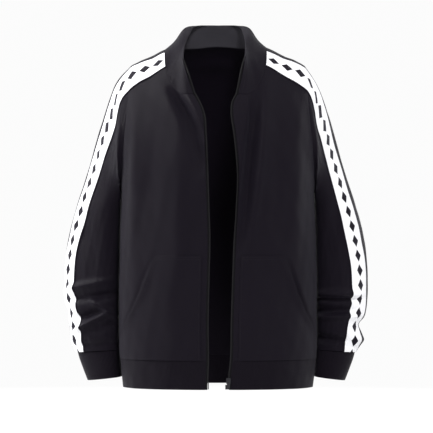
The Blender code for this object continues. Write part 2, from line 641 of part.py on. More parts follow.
def collar(front_t, back_s, height):
    """The stand collar's outer face and normals: from the neck seam up to its edge."""
    turn, level = neck_seam(front_t, back_s)
    foot = torso(turn, level)
    steps = np.linalg.norm(np.diff(foot, axis=0), axis=1)
    along = np.concatenate([[0], np.cumsum(steps)])
    right = foot[:, 0] < 0
    crossing = np.flatnonzero(~right)[0]
    middle = np.interp(0, foot[crossing - 1:crossing + 1, 0], along[crossing - 1:crossing + 1])
    way = np.where(right, (middle - along) / middle, (along - middle) / (along[-1] - middle))
    x = np.where(right, *(read(COLLAR_TOP, "share", n, way) for n in ("right_x", "left_x")))
    z = np.where(right, *(read(COLLAR_TOP, "share", n, way) for n in ("right_z", "left_z")))
    top = np.stack([x, read(COLLAR_TOP, "share", "y", way), z], axis=-1)
    out = foot * [1, 1, 0] + [0, 0.02, 0]
    out /= np.linalg.norm(out, axis=-1, keepdims=True)
    over = (out + [0, 0, 1]) * read(COLLAR_TOP, "share", "roll", way)[:, None]
    w = np.asarray(height, float)[:, None, None]
    swell, roll = 4 * w * (1 - w), (w / ROLL_HEIGHT) ** 4 * (1 - w) / (1 - ROLL_HEIGHT)
    points = foot * (1 - w) + top * w + out * COLLAR_SWELL * swell + over * roll
    normal = outward(points, points * [0, 0, 1])
    if height[0] == 0:
        normal[0] = torso_out(turn, level)
    return points, normal


# ---------------------------------------------------------------- walls, from grids of points

def outward(points, inside, closed=False):
    """Unit normals of a grid of points, pointing away from the points named as inside."""
    if closed:
        lap = np.concatenate([points[:, -1:], points, points[:, :1]], axis=1)
        across = (lap[:, 2:] - lap[:, :-2]) / 2
    else:
        across = np.gradient(points, axis=1)
    normal = np.cross(across, np.gradient(points, axis=0))
    normal /= np.maximum(np.linalg.norm(normal, axis=-1, keepdims=True), 1e-12)
    return normal * np.sign((normal * (points - inside)).sum())


def drawn_in(points, **gaps):
    """A grid with its named edges (bottom, top, start, end) drawn in along the cloth."""
    points = points.copy()
    for name, (edge, inner, axis) in {
        "bottom": (0, 1, 0), "top": (-1, -2, 0), "start": (0, 1, 1), "end": (-1, -2, 1)
    }.items():
        if name in gaps:
            view = points if axis == 0 else points.swapaxes(0, 1)
            step = view[inner] - view[edge]
            view[edge] += step / np.linalg.norm(step, axis=-1, keepdims=True) * gaps[name]
    return points


def wall(name, outer, inner, material, closed=False):
    """A closed solid between two grids of points, with a rim along each free edge."""
    rows, columns = outer.shape[:2]
    points = np.concatenate([outer.reshape(-1, 3), inner.reshape(-1, 3)])
    back = rows * columns
    last = columns if closed else columns - 1

    def at(row, col):
        return row * columns + col % columns

    faces = []
    for row in range(rows - 1):
        for col in range(last):
            a, b, c, d = at(row, col), at(row, col + 1), at(row + 1, col + 1), at(row + 1, col)
            faces += [[a, b, c, d], [back + a, back + d, back + c, back + b]]
    rims = [(at(0, col + 1), at(0, col)) for col in range(last)]
    rims += [(at(rows - 1, col), at(rows - 1, col + 1)) for col in range(last)]
    if not closed:
        rims += [(at(row, 0), at(row + 1, 0)) for row in range(rows - 1)]
        rims += [(at(row + 1, last), at(row, last)) for row in range(rows - 1)]
    faces += [[a, b, back + b, back + a] for a, b in rims]
    return add_object(name, points, faces, material)


def add_object(name, points, faces, material):
    """Adds a mesh object, its faces turned outwards by the sign of the volume they enclose."""
    points = np.asarray(points, float)
    fans = [(f[0], f[i], f[i + 1]) for f in faces for i in range(1, len(f) - 1)]
    if np.linalg.det(points[fans] - points.mean(axis=0)).sum() < 0:
        faces = [[face[0], *face[:0:-1]] for face in faces]
    mesh = bpy.data.meshes.new(name)
    mesh.from_pydata([tuple(p) for p in points], [], faces)
    mesh.materials.append(material)
    mesh.shade_smooth()
    mesh.set_sharp_from_angle(angle=math.radians(50))
    obj = bpy.data.objects.new(name, mesh)
    bpy.context.scene.collection.objects.link(obj)
    return obj


def cloth(name, points, normal, material, closed=False, lift=0.0, depth=CLOTH, **gaps):
    """A cloth piece with its outer face on a grid, moved out by lift, and its wall inside that."""
    face = drawn_in(points, **gaps)
    return wall(name, face + normal * lift, face + normal * (lift - depth), material, closed)


# ---------------------------------------------------------------- the cloth pieces

HALF_GAP = SEAM_GAP / 2
SLEEVE_FRONT_U = spread((0, 1), (0.05, 2), (0.15, 5), (0.28, 1), (0.30, 4), (0.50,))
SLEEVE_BACK_U = spread((0.50, 9), (1.00,))
SLEEVE_U = np.concatenate([SLEEVE_FRONT_U, SLEEVE_BACK_U[1:-1]])
SLEEVE_PLACES = spread((0, 4), (2, 3), (6, 3), (7.4, 20), (len(SLEEVE) - 1,))


def rows_at(u):
    return np.interp(u, column(SLEEVE_COLUMNS, "u"), column(SLEEVE_COLUMNS, "t"))


FRONT_U = spread((0, 1), (TAPE_U, 7), (0.25, 3), (0.5, 5), (1,))[::-1]
FRONT_T = np.concatenate(
    [spread((0, 2), (MOUTH_END_T, 5), (POCKET_T, 5), (ARMHOLE_T,)), rows_at(SLEEVE_FRONT_U[-2::-1])]
)
BACK_S = back_columns(5, 10)
BACK_T = np.concatenate([spread((0, 7), (ARMHOLE_T,)), rows_at(SLEEVE_BACK_U[1:])])
NECK_ROWS = FRONT_T[FRONT_T > NECK_T - 1e-9]
NECK_COLUMNS = BACK_S[5:-5]
HEM_U = spread((0, 1), (TAPE_HEM_U, 36), (1 - TAPE_HEM_U, 1), (1,))
HEM_HEIGHTS = np.linspace(HEM_Z, HEM_SEAM_Z, 4)
COLLAR_HEIGHTS = np.linspace(0, 1, 5)


def mirrored(values, side):
    """Columns in the order of the wearer's left, or turned round for the right."""
    return values if side > 0 else values[::-1]


def on_torso(turn, level):
    return torso(turn, level), torso_out(turn, level)


def build_panels(material, rib):
    for side, name in ((-1, "front_right"), (1, "front_left")):
        grid = on_torso(*front_panel(side, mirrored(FRONT_U, side)[None, :], FRONT_T[:, None]))
        cloth(name, *grid, material, start=HALF_GAP, end=HALF_GAP, top=HALF_GAP, bottom=HALF_GAP)
    grid = on_torso(*back_panel(BACK_S[None, :], BACK_T[:, None]))
    cloth("back", *grid, material, start=HALF_GAP, end=HALF_GAP, top=HALF_GAP, bottom=HALF_GAP)
    grid = on_torso(*hem_band(HEM_U[None, :], HEM_HEIGHTS[:, None]))
    cloth("hem_band", *grid, rib, top=HALF_GAP)


def build_sleeves(material, rib):
    for side, end in ((-1, "right"), (1, "left")):
        grid = sleeve(side, mirrored(SLEEVE_U, side), SLEEVE_PLACES)
        cloth("sleeve_" + end, *grid, material, closed=True, bottom=HALF_GAP, top=HALF_GAP)
        grid = cuff(side, np.arange(20) / 20, np.linspace(0, len(CUFF_BAND) - 1, 5))
        cloth("cuff_" + end, *grid, rib, closed=True, bottom=HALF_GAP)


def build_collar(material):
    grid = collar(NECK_ROWS, NECK_COLUMNS, COLLAR_HEIGHTS)
    cloth("collar", *grid, material, bottom=SEAM_GAP)


def build_bands(material):
    """One band a side, from the neck over the shoulder and down the sleeve, lying on their points."""
    for side, end in ((-1, "right"), (1, "left")):
        around = mirrored(SLEEVE_U, side)
        inside = (around > BAND_U[1] - 1e-9) & (around < BAND_U[2] + 1e-9)
        rows = rows_at(around[inside])
        shoulder = on_torso(*front_panel(side, FRONT_U[::-1, None], rows[None, :]))
        arm = [grid[1:, inside] for grid in sleeve(side, around, SLEEVE_PLACES)]
        points, normal = (np.concatenate(pair) for pair in zip(shoulder, arm))
        cloth("sleeve_band_" + end, points, normal, material, lift=SEAM_GAP + TRIM, depth=TRIM,
              bottom=0.0015, top=0.0010)


def build_pockets(material):
    columns = FRONT_U[(FRONT_U > TAPE_U - 1e-9) & (FRONT_U < 0.5 + 1e-9)]
    rows = FRONT_T[FRONT_T < POCKET_T + 1e-9]
    for side, end in ((-1, "right"), (1, "left")):
        grid = on_torso(*front_panel(side, mirrored(columns, side)[None, :], rows[:, None]))
        cloth("pocket_" + end, *grid, material, lift=SEAM_GAP + TRIM, depth=TRIM, bottom=0.0006)


def tape_path(side):
    """Outer cloth face and normals beside the zip, from the hem to the collar's edge: a column
    under the cloth, then one at the cloth's edge."""
    hem_u = np.array([TAPE_HEM_U, 0.0])
    hem = on_torso(*hem_band((hem_u if side < 0 else 1 - hem_u)[None, :], HEM_HEIGHTS[:, None]))
    rows = FRONT_T[(FRONT_T > 0) & (FRONT_T < NECK_T + 1e-9)]
    front = on_torso(*front_panel(side, np.array([[TAPE_U, 0.0]]), rows[:, None]))
    stand = collar(NECK_ROWS, NECK_COLUMNS, COLLAR_HEIGHTS)
    pick_two = [1, 0] if side < 0 else [-2, -1]
    stand = [grid[:, pick_two] for grid in stand]
    # At the neck's corner one row keeps to the front and the next to the collar.
    front[0][-1, 0] = 0.3 * front[0][-1, 0] + 0.7 * front[0][-1, 1]
    for grid in stand:
        grid[0] = 0.9 * grid[0] + 0.1 * grid[1]
    return [np.concatenate([hem[k], front[k], stand[k]]) for k in (0, 1)]


def tape_edge(side):
    """Three columns of the zip tape's outer face: under the cloth, at its edge and beyond."""
    points, normal = tape_path(side)
    out = points[:, 1] - points[:, 0]
    out /= np.linalg.norm(out, axis=-1, keepdims=True)
    points = np.concatenate([points, (points[:, 1] + out * TAPE_OUT)[:, None]], axis=1)
    return points, np.concatenate([normal, normal[:, 1:]], axis=1)


def build_tapes(material):
    for side, end in ((-1, "right"), (1, "left")):
        points, normal = (mirrored(grid.swapaxes(0, 1), side).swapaxes(0, 1) for grid in tape_edge(side))
        cloth("zip_tape_" + end, points, normal, material, lift=-CLOTH - TAPE_GAP, depth=TAPE,
              bottom=0.0010, top=0.0010)


# ---------------------------------------------------------------- the zip's hard parts

def box_points(low, high):
    x, y, z = zip(low, high)
    return [(x[i], y[j], z[k]) for k in (0, 1) for i, j in ((0, 0), (1, 0), (1, 1), (0, 1))]


def add_box(name, low, high, material, bevel=0.0003):
    """A box with its upright and level edges cut off by a bevel."""
    faces = [[0, 3, 2, 1], [4, 5, 6, 7], [0, 1, 5, 4], [1, 2, 6, 5], [2, 3, 7, 6], [3, 0, 4, 7]]
    obj = add_object(name, box_points(low, high), faces, material)
    edge = obj.modifiers.new("edge", "BEVEL")
    edge.width, edge.segments = bevel, 1
    return obj


def prism(name, outline, low, high, material, axis):
    """A solid between two copies of a flat outline, set at low and high along an axis."""
    count = len(outline)
    points = [np.insert(np.array(p, float), axis, at) for at in (low, high) for p in outline]
    faces = [list(range(count))[::-1], list(range(count, 2 * count))]
    faces += [[i, (i + 1) % count, count + (i + 1) % count, count + i] for i in range(count)]
    return add_object(name, points, faces, material)


def tape_edge_at(side, z):
    """The middle of the tape's free edge at a height."""
    points, normal = tape_edge(side)
    edge = points[:, 2] - normal[:, 2] * (CLOTH + TAPE_GAP + TAPE / 2)
    order = np.argsort(edge[:8, 2])
    return np.array([np.interp(z, edge[order, 2], edge[order, k]) for k in range(3)])


def build_slider(material):
    """The slider, parked low on the wearer's left, with the bridge its pull tab hangs from."""
    edge = tape_edge_at(1, SLIDER_Z)
    web = edge[0] - SEAM_GAP - SLIDER_WEB
    left, right = edge[0] - SLIDER_BEYOND, edge[0] + SLIDER_REACH
    half_slot, half_all = SLIDER_SLOT / 2, SLIDER_SLOT / 2 + SLIDER_PLATE
    y = edge[1]
    outline = [
        (left, y - half_all), (right, y - half_all), (right, y - half_slot),
        (web + SLIDER_WEB, y - half_slot), (web + SLIDER_WEB, y + half_slot), (right, y + half_slot),
        (right, y + half_all), (left, y + half_all), (left, y + half_slot), (web, y + half_slot),
        (web, y - half_slot), (left, y - half_slot),
    ]
    low, high = SLIDER_Z - SLIDER_LENGTH / 2, SLIDER_Z + SLIDER_LENGTH / 2
    body = prism("slider", outline, low, high, material, 2)
    front = y - half_all
    arch = [
        (front + 0.0004, -0.0030), (front - 0.0026, -0.0030), (front - 0.0034, -0.0022),
        (front - 0.0034, 0.0022), (front - 0.0026, 0.0030), (front + 0.0004, 0.0030),
        (front + 0.0004, 0.0020), (front - 0.0020, 0.0020), (front - 0.0026, 0.0015),
        (front - 0.0026, -0.0015), (front - 0.0020, -0.0020), (front + 0.0004, -0.0020),
    ]
    arch = [(a, SLIDER_Z + b) for a, b in arch]
    middle = (left + right) / 2
    bridge = prism("bridge", arch, middle - BRIDGE_WIDTH / 2, middle + BRIDGE_WIDTH / 2, material, 0)
    weld(body, bridge)
    return np.array([middle, front - PIVOT_FORWARD, SLIDER_Z])


def weld(body, other):
    """Joins another solid to a body and removes it."""
    union = body.modifiers.new("union", "BOOLEAN")
    union.operation, union.solver, union.object = "UNION", "EXACT", other
    bpy.context.view_layer.update()
    graph = bpy.context.evaluated_depsgraph_get()
    mesh = bpy.data.meshes.new_from_object(body.evaluated_get(graph))
    body.modifiers.clear()
    body.data = mesh
    bpy.data.objects.remove(other)


def build_pull(pivot, material):
    """The pull tab, hanging down, with its origin on the hinge line."""
    half, top, bottom = PULL_WIDTH / 2, PULL_BAR / 2 + 0.0002, -PULL_LENGTH
    cut = 0.0010
    outer = [
        (half - cut, top), (half, top - cut), (half, bottom + 2 * cut), (half - 2 * cut, bottom),
        (2 * cut - half, bottom), (-half, bottom + 2 * cut), (-half, top - cut), (cut - half, top),
    ]
    wide, end = BRIDGE_WIDTH / 2 + 0.0005, -PULL_HOLE
    inner = [
        (wide - 0.0002, -PULL_BAR / 2), (wide, -PULL_BAR / 2 - 0.0002), (wide, end + 0.0002),
        (wide - 0.0002, end), (0.0002 - wide, end), (-wide, end + 0.0002),
        (-wide, -PULL_BAR / 2 - 0.0002), (0.0002 - wide, -PULL_BAR / 2),
    ]
    points = [(x, y, z) for y in (-PULL_BAR / 2, PULL_BAR / 2) for x, z in outer + inner]
    faces = []
    for i in range(8):
        j = (i + 1) % 8
        faces += [[i, j, 8 + j, 8 + i], [16 + i, 24 + i, 24 + j, 16 + j]]
        faces += [[i, 16 + i, 16 + j, j], [8 + i, 8 + j, 24 + j, 24 + i]]
    obj = add_object("pull_tab", points, faces, material)
    obj.location = pivot


def build_stops(material):
    """The retaining box on the wearer's left, and the pin it takes on the right."""
    low, high = HEM_Z + 0.0010, HEM_Z + 0.0010 + BOX_SIZE[2]
    x, y, _ = tape_edge_at(1, (low + high) / 2)
    x -= SEAM_GAP + 0.0003
    add_box("zip_box", (x - BOX_SIZE[0], y - BOX_SIZE[1] / 2, low), (x, y + BOX_SIZE[1] / 2, high),
            material)
    high = low + PIN_SIZE[2]
    x, y, _ = tape_edge_at(-1, (low + high) / 2)
    x += SEAM_GAP + 0.0003
    add_box("zip_pin", (x, y - PIN_SIZE[1] / 2, low), (x + PIN_SIZE[0], y + PIN_SIZE[1] / 2, high),
            material)


def add_material(name, color, roughness, metallic=0.0):
    material = bpy.data.materials.new(name)
    material.use_nodes = True
    shader = material.node_tree.nodes["Principled BSDF"]
    shader.inputs["Base Color"].default_value = (*color, 1.0)
    shader.inputs["Roughness"].default_value = roughness
    shader.inputs["Metallic"].default_value = metallic
    material.diffuse_color = (*color, 1.0)
    return material


def main():
    for obj in list(bpy.data.objects):
        bpy.data.objects.remove(obj)
    black = add_material("black_knit", (0.022, 0.021, 0.025), 0.75)
    rib = add_material("black_rib", (0.019, 0.018, 0.022), 0.80)
    white = add_material("white_band", (0.82, 0.82, 0.84), 0.65)
    tape = add_material("zip_tape", (0.012, 0.012, 0.014), 0.70)
    metal = add_material("zip_metal", (0.060, 0.060, 0.065), 0.35, 0.9)
    build_panels(black, rib)
    build_sleeves(black, rib)
    build_collar(black)
    build_bands(white)
    build_pockets(black)
    build_tapes(tape)
    pivot = build_slider(metal)
    build_pull(pivot, metal)
    build_stops(metal)


main()
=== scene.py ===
"""Builds the visual model of a zip jacket with a stand collar, worn open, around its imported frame.

Every cloth piece is a thin shell on one of the garment's surfaces: the torso, a sleeve, a cuff or the
collar. A surface is worked out as a whole numpy grid of points with their normals, in metres, +Z up.
The wearer faces -Y, and +X is the wearer's left.
"""

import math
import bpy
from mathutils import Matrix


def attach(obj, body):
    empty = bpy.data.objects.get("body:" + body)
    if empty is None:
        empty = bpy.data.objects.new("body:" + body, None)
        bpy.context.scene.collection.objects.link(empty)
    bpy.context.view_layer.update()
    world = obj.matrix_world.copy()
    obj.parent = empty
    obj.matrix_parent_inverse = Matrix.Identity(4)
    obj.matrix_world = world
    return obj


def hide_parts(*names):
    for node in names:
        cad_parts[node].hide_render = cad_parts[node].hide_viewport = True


bl_info = {
    "name": "Zip jacket",
    "version": (1, 0, 0),
    "blender": (4, 5, 0),
    "location": "3D View > Sidebar > Jacket",
    "description": "Builds an open zip jacket with a stand collar, its seams, zip and stage",
    "category": "Add Mesh",
}

from collections import namedtuple
from functools import lru_cache

import bpy
import numpy as np
from bpy.props import FloatProperty, FloatVectorProperty, PointerProperty
from mathutils import Vector

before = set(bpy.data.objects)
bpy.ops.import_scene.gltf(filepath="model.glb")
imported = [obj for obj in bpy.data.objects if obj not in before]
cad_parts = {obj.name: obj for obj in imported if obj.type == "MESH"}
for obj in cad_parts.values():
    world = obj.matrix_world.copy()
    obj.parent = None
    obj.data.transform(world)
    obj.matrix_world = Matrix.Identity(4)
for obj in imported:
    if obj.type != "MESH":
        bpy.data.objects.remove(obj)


def table(fields, *rows):
    """A table whose rows have named fields."""
    row_type = namedtuple("Row", fields)
    return [row_type(*row) for row in rows]


# ---------------------------------------------------------------- driving sizes, in metres

CLOTH = 0.0020          # wall of every cloth piece
SEAM_GAP = 0.0003       # under what lies on a panel
TRIM = 0.0010           # wall of the sleeve band and of the pocket piece
TAPE = 0.0008           # wall of the zip tape

HEM_Z = -0.6645         # lower edge of the hem band
HEM_SEAM_Z = -0.6075    # where the hem band joins the panels
UNDERARM_Z = -0.280     # lowest point of the armhole
NECK_Z = -0.084         # the neck's front corner, where the collar meets the zip
NECK_SIDE_X = {-1: 0.106, 1: 0.097}  # where the collar meets the shoulder, on the right and left
ROUNDNESS = 2.4         # exponent of the torso's sections: 2 is an ellipse
FRONT_ARCH = 2.1        # exponent of the chest's curve up to the shoulder
BACK_ARCH = 2.9         # the same, over the shoulder blades
BACK_NECK_DROP = 0.256  # how far below the shoulder line, in levels, the back neck lies
BODY_CLEARANCE = 0.0022  # from the torso to the sleeve that hangs beside it
TOUCH_SOFTNESS = 0.0020  # how gently a sleeve flattens where it meets the torso
UNDERARM_EASE = 0.012   # how far below the underarm a sleeve comes clear of the torso
LEAN = 0.0035           # how much closer the wearer's left sleeve hangs, and the right further out
TWIST = {-1: 0.60, 1: 0.30}  # how far a sleeve's inner side stands in front of its crown, in half depths
SLEEVE_POWER = 0.80     # of the sine in a sleeve's rings: below 1, its front and back are flatter
TWIST_Z = -0.160        # where along its crown the twist and the flatness are complete
ARM_RADIUS = 0.056      # turns a sleeve's angles into lengths for its folds
LOOP = 360              # steps round a dense ring

# The torso's sections up to the underarm: how far they reach to the side, in front and behind.
TORSO = table(
    "z half_width front back",
    (-0.665, 0.1895, 0.1320, 0.121),
    (-0.635, 0.1930, 0.1325, 0.124),
    (-0.600, 0.1960, 0.1335, 0.126),
    (-0.520, 0.1975, 0.1350, 0.125),
    (-0.440, 0.1970, 0.134, 0.122),
    (-0.360, 0.1950, 0.134, 0.122),
    (-0.280, 0.1920, 0.135, 0.124),
)

# The yoke runs from the underarm, rise 0, to the shoulder line, rise 1.
YOKE = table(
    "rise half_width armhole_x",
    (0.00, 0.1920, 0.1920),
    (0.10, 0.1950, 0.1915),
    (0.25, 0.1990, 0.1875),
    (0.45, 0.2030, 0.1810),
    (0.65, 0.2070, 0.1760),
    (0.85, 0.2120, 0.1735),
    (1.00, 0.2180, 0.1735),
)

# The shoulder line: its height at a distance from the centre.
RIDGE = table(
    "x z",
    (0.000, 0.0360),
    (0.020, 0.0345),
    (0.040, 0.0300),
    (0.060, 0.0245),
    (0.097, 0.0125),
    (0.110, 0.0070),
    (0.133, -0.005),
    (0.157, -0.015),
    (0.176, -0.026),
    (0.196, -0.044),
    (0.240, -0.090),
)

# Where the cloth ends beside the zip, on the wearer's right (x below 0) and left.
ZIP_EDGE = table(
    "z right_x left_x",
    (-0.665, -0.0250, 0.0250),
    (-0.640, -0.0245, 0.0254),
    (-0.610, -0.0235, 0.0285),
    (-0.532, -0.0240, 0.0305),
    (-0.438, -0.0220, 0.0335),
    (-0.370, -0.0205, 0.0360),
    (-0.302, -0.0225, 0.0395),
    (-0.238, -0.0245, 0.0415),
    (-0.158, -0.0275, 0.0350),
    (-0.120, -0.0320, 0.0300),
    (-0.100, -0.0400, 0.0320),
    (NECK_Z, -0.0490, 0.0400),
)

# The front neck seam, from the zip to the shoulder: how much of the way outwards, and how high.
FRONT_NECK = table(
    "share outwards z",
    (0.00, 0.00, NECK_Z),
    (0.18, 0.35, -0.0835),
    (0.36, 0.62, -0.0730),
    (0.55, 0.82, -0.0530),
    (0.78, 0.97, -0.0240),
    (1.00, 1.00, 0.0125),
)

# The collar's upper edge, from the centre back to the zip.
COLLAR_TOP = table(
    "share right_x right_z left_x left_z y roll",
    (0.00, 0.000, 0.0605, 0.000, 0.0605, 0.050, 0.000),
    (0.09, -0.017, 0.0607, 0.017, 0.0607, 0.050, 0.000),
    (0.20, -0.036, 0.0600, 0.034, 0.0600, 0.045, 0.004),
    (0.32, -0.0485, 0.0550, 0.044, 0.0550, 0.031, 0.008),
    (0.48, -0.0555, 0.0415, 0.049, 0.0430, 0.003, 0.005),
    (0.66, -0.0640, 0.0210, 0.053, 0.0250, -0.034, 0.002),
    (0.84, -0.0690, 0.0010, 0.055, 0.0070, -0.067, 0.000),
    (1.00, -0.0705, -0.0140, 0.055, -0.0090, -0.090, 0.000),
)
COLLAR_SWELL = 0.0020   # how far the collar's middle stands out
ROLL_HEIGHT = 0.8       # where the collar rolls over furthest, as a share of its height

# The rings of a sleeve, each from its outermost point (crown) to its point nearest the body.
RING = "crown_x crown_z inner_x inner_z half_depth centre_y"
SLEEVE = table(
    RING,
    (0.1780, -0.028, 0.1920, -0.280, 0.062, 0.000),  # the armhole takes its place
    (0.1970, -0.053, 0.1968, -0.2765, 0.063, 0.007),
    (0.2135, -0.088, 0.1950, -0.280, 0.064, 0.017),
    (0.2372, -0.160, 0.1905, -0.290, 0.065, 0.037),
    (0.2592, -0.236, 0.1890, -0.307, 0.064, 0.050),
    (0.2806, -0.300, 0.1895, -0.332, 0.062, 0.056),
    (0.2956, -0.355, 0.1905, -0.367, 0.060, 0.057),
    (0.3042, -0.410, 0.1915, -0.412, 0.058, 0.056),
    (0.3056, -0.460, 0.1920, -0.459, 0.056, 0.054),
    (0.3036, -0.505, 0.1920, -0.502, 0.054, 0.052),
    (0.2965, -0.545, 0.1920, -0.541, 0.052, 0.050),
    (0.2922, -0.579, 0.1915, -0.572, 0.046, 0.047),
    (0.2815, -0.5975, 0.1915, -0.5915, 0.037, 0.044),
)
# The rings of a cuff, from the sleeve to its edge.
CUFF_BAND = table(
    RING,
    (0.2795, -0.5980, 0.1915, -0.5920, 0.0355, 0.044),
    (0.2755, -0.6120, 0.1912, -0.6070, 0.0355, 0.043),
    (0.2680, -0.6320, 0.1905, -0.6260, 0.0345, 0.040),
    (0.2592, -0.6545, 0.1900, -0.6455, 0.0335, 0.038),
)

# Folds seen from the front: a trough (depth below 0) or a ridge along a bowed line.
FOLD = "x0 z0 x1 z1 bow width depth"
FRONT_FOLDS = table(
    FOLD,
    (-0.104, -0.050, -0.028, -0.250, -0.010, 0.0120, -0.0105),
    (-0.082, -0.055, -0.020, -0.190, -0.004, 0.0110, 0.0030),
    (-0.162, -0.040, -0.168, -0.480, 0.000, 0.0125, 0.0060),
    (-0.124, -0.090, -0.128, -0.400, 0.004, 0.0170, -0.0030),
    (-0.078, -0.160, -0.080, -0.500, 0.000, 0.0180, 0.0035),
    (-0.104, -0.400, -0.086, -0.620, 0.000, 0.0220, 0.0030),
    (0.0805, -0.045, 0.0400, -0.405, -0.0045, 0.0092, -0.0145),
    (0.0970, -0.060, 0.0570, -0.430, -0.0045, 0.0100, 0.0050),
    (0.060, -0.076, 0.056, -0.180, 0.000, 0.0055, 0.0035),
    (0.121, -0.030, 0.115, -0.380, 0.000, 0.0150, -0.0032),
    (0.158, -0.060, 0.154, -0.430, 0.000, 0.0150, 0.0036),
    (0.060, -0.400, 0.070, -0.620, 0.000, 0.0220, 0.0028),
    (-0.098, -0.066, -0.030, -0.178, -0.004, 0.0080, -0.0055),
    (-0.074, -0.078, -0.024, -0.150, -0.003, 0.0090, 0.0028),
    (0.0660, -0.070, 0.0400, -0.330, -0.0045, 0.0065, -0.0080),
    (0.0600, -0.070, 0.0440, -0.300, -0.0040, 0.0160, -0.0050),
)
BACK_FOLDS = table(
    FOLD,
    (-0.140, -0.060, -0.105, -0.460, 0.006, 0.0170, -0.0065),
    (0.144, -0.070, 0.100, -0.480, -0.006, 0.0170, -0.0065),
    (-0.072, -0.160, -0.050, -0.600, 0.006, 0.0190, 0.0040),
    (0.058, -0.140, 0.078, -0.590, -0.005, 0.0190, 0.0040),
    (-0.018, -0.230, 0.008, -0.620, 0.000, 0.0200, -0.0040),
    (-0.075, -0.030, 0.075, -0.034, -0.014, 0.0110, -0.0035),
)

# Folds across a sleeve: height and turn, in degrees from the crown towards the front, at each end.
SLEEVE_FOLD = "z0 turn0 z1 turn1 width depth"
RIGHT_SLEEVE_FOLDS = table(
    SLEEVE_FOLD,
    (-0.480, -5, -0.450, 145, 0.0075, 0.0064),
    (-0.494, 30, -0.474, 185, 0.0078, -0.0090),
    (-0.478, 72, -0.556, 180, 0.0065, 0.0066),
    (-0.533, 45, -0.513, 118, 0.0080, -0.0105),
    (-0.568, 20, -0.510, 140, 0.0050, 0.0085),
    (-0.556, 70, -0.530, 175, 0.0080, -0.0060),
    (-0.592, 5, -0.574, 180, 0.0080, -0.0050),
    (-0.546, -75, -0.506, 50, 0.0130, -0.0060),
    (-0.462, 180, -0.482, 330, 0.0090, 0.0062),
    (-0.506, 170, -0.490, 310, 0.0100, -0.0072),
    (-0.520, 190, -0.548, 330, 0.0090, 0.0062),
    (-0.550, 180, -0.572, 320, 0.0090, -0.0056),
    (-0.290, 50, -0.440, 115, 0.0170, -0.0050),
    (-0.210, 255, -0.440, 285, 0.0190, -0.0055),
    (-0.100, 60, -0.300, 100, 0.0170, -0.0045),
)
LEFT_SLEEVE_FOLDS = table(
    SLEEVE_FOLD,
    (-0.482, 180, -0.479, 35, 0.0080, 0.0075),
    (-0.489, 180, -0.491, 30, 0.0046, -0.0080),
    (-0.516, 185, -0.513, 45, 0.0098, -0.0095),
    (-0.527, 180, -0.523, 35, 0.0058, 0.0080),
    (-0.564, 185, -0.580, 45, 0.0092, -0.0105),
    (-0.594, 180, -0.588, 20, 0.0070, -0.0040),
    (-0.548, -75, -0.540, 75, 0.0120, -0.0095),
    (-0.576, -65, -0.570, 65, 0.0080, 0.0046),
    (-0.462, 180, -0.484, 325, 0.0085, 0.0060),
    (-0.492, 175, -0.512, 325, 0.0095, -0.0072),
    (-0.536, 180, -0.518, 325, 0.0090, 0.0060),
    (-0.572, 180, -0.550, 320, 0.0090, -0.0062),
    (-0.260, 65, -0.430, 125, 0.0180, -0.0050),
    (-0.200, 260, -0.430, 290, 0.0190, -0.0055),
    (-0.090, 55, -0.290, 95, 0.0170, -0.0045),
)

# The band down a sleeve: how far in front of the crown its edges run, round each ring of the sleeve.
BAND = table(
    "place right_out right_in left_out left_in",
    (0.0, 0.020, 0.080, 0.030, 0.104),
    (1.0, 0.031, 0.117, 0.027, 0.133),
    (2.0, 0.034, 0.105, 0.028, 0.112),
    (3.0, 0.036, 0.089, 0.043, 0.097),
    (4.0, 0.031, 0.079, 0.041, 0.0855),
    (5.0, 0.027, 0.0735, 0.040, 0.082),
    (6.0, 0.0245, 0.068, 0.0385, 0.0825),
    (8.0, 0.0125, 0.0585, 0.0275, 0.073),
    (9.0, 0.0135, 0.058, 0.0265, 0.070),
    (9.8, 0.0175, 0.062, 0.027, 0.0705),
    (10.3, 0.0150, 0.0605, 0.027, 0.0695),
    (11.0, 0.0110, 0.0535, 0.022, 0.0635),
    (12.0, 0.0050, 0.039, 0.011, 0.050),
)

# The height shares t of a front where other pieces meet it, and the sleeve's columns u there.
ARMHOLE_T = 0.55        # the underarm
NECK_T = 0.74           # the neck's front corner
PAST_NECK_T = 0.76      # a little past it
BAND_LOW_T, BAND_TOP_T = 0.88, 0.95  # the band's lower and upper edge
BAND_LOW_U, BAND_TOP_U = 0.15, 0.05
UNDERARM_U = 0.50

# How the height share t of a front runs: beside the zip, then along the neck, and on its outer edge.
PANEL_ROWS = table(
    "t zip_z neck_share outer_level",
    (0.00, HEM_SEAM_Z, 0.000, (HEM_SEAM_Z - HEM_Z) / (UNDERARM_Z - HEM_Z)),
    (ARMHOLE_T, UNDERARM_Z, 0.000, 1.000),
    (NECK_T, NECK_Z, 0.000, 1.360),
    (PAST_NECK_T, NECK_Z, 0.082, 1.398),
    (BAND_LOW_T, NECK_Z, 0.760, 1.575),
    (BAND_TOP_T, NECK_Z, 0.950, 1.875),
    (1.00, NECK_Z, 1.000, 2.000),  # the shoulder seam
)

# Where a sleeve's columns u meet the panels' rows t at the armhole.
SLEEVE_COLUMNS = table(
    "u t",
    (0.00, 1.00),
    (BAND_TOP_U, BAND_TOP_T),
    (BAND_LOW_U, BAND_LOW_T),
    (0.28, PAST_NECK_T),
    (0.30, NECK_T),
    (UNDERARM_U, ARMHOLE_T),
    (1.00, 1.00),
)
RING_U = (0.0, BAND_TOP_U, BAND_LOW_U, UNDERARM_U, 1.00)  # the columns that a ring is laid out by

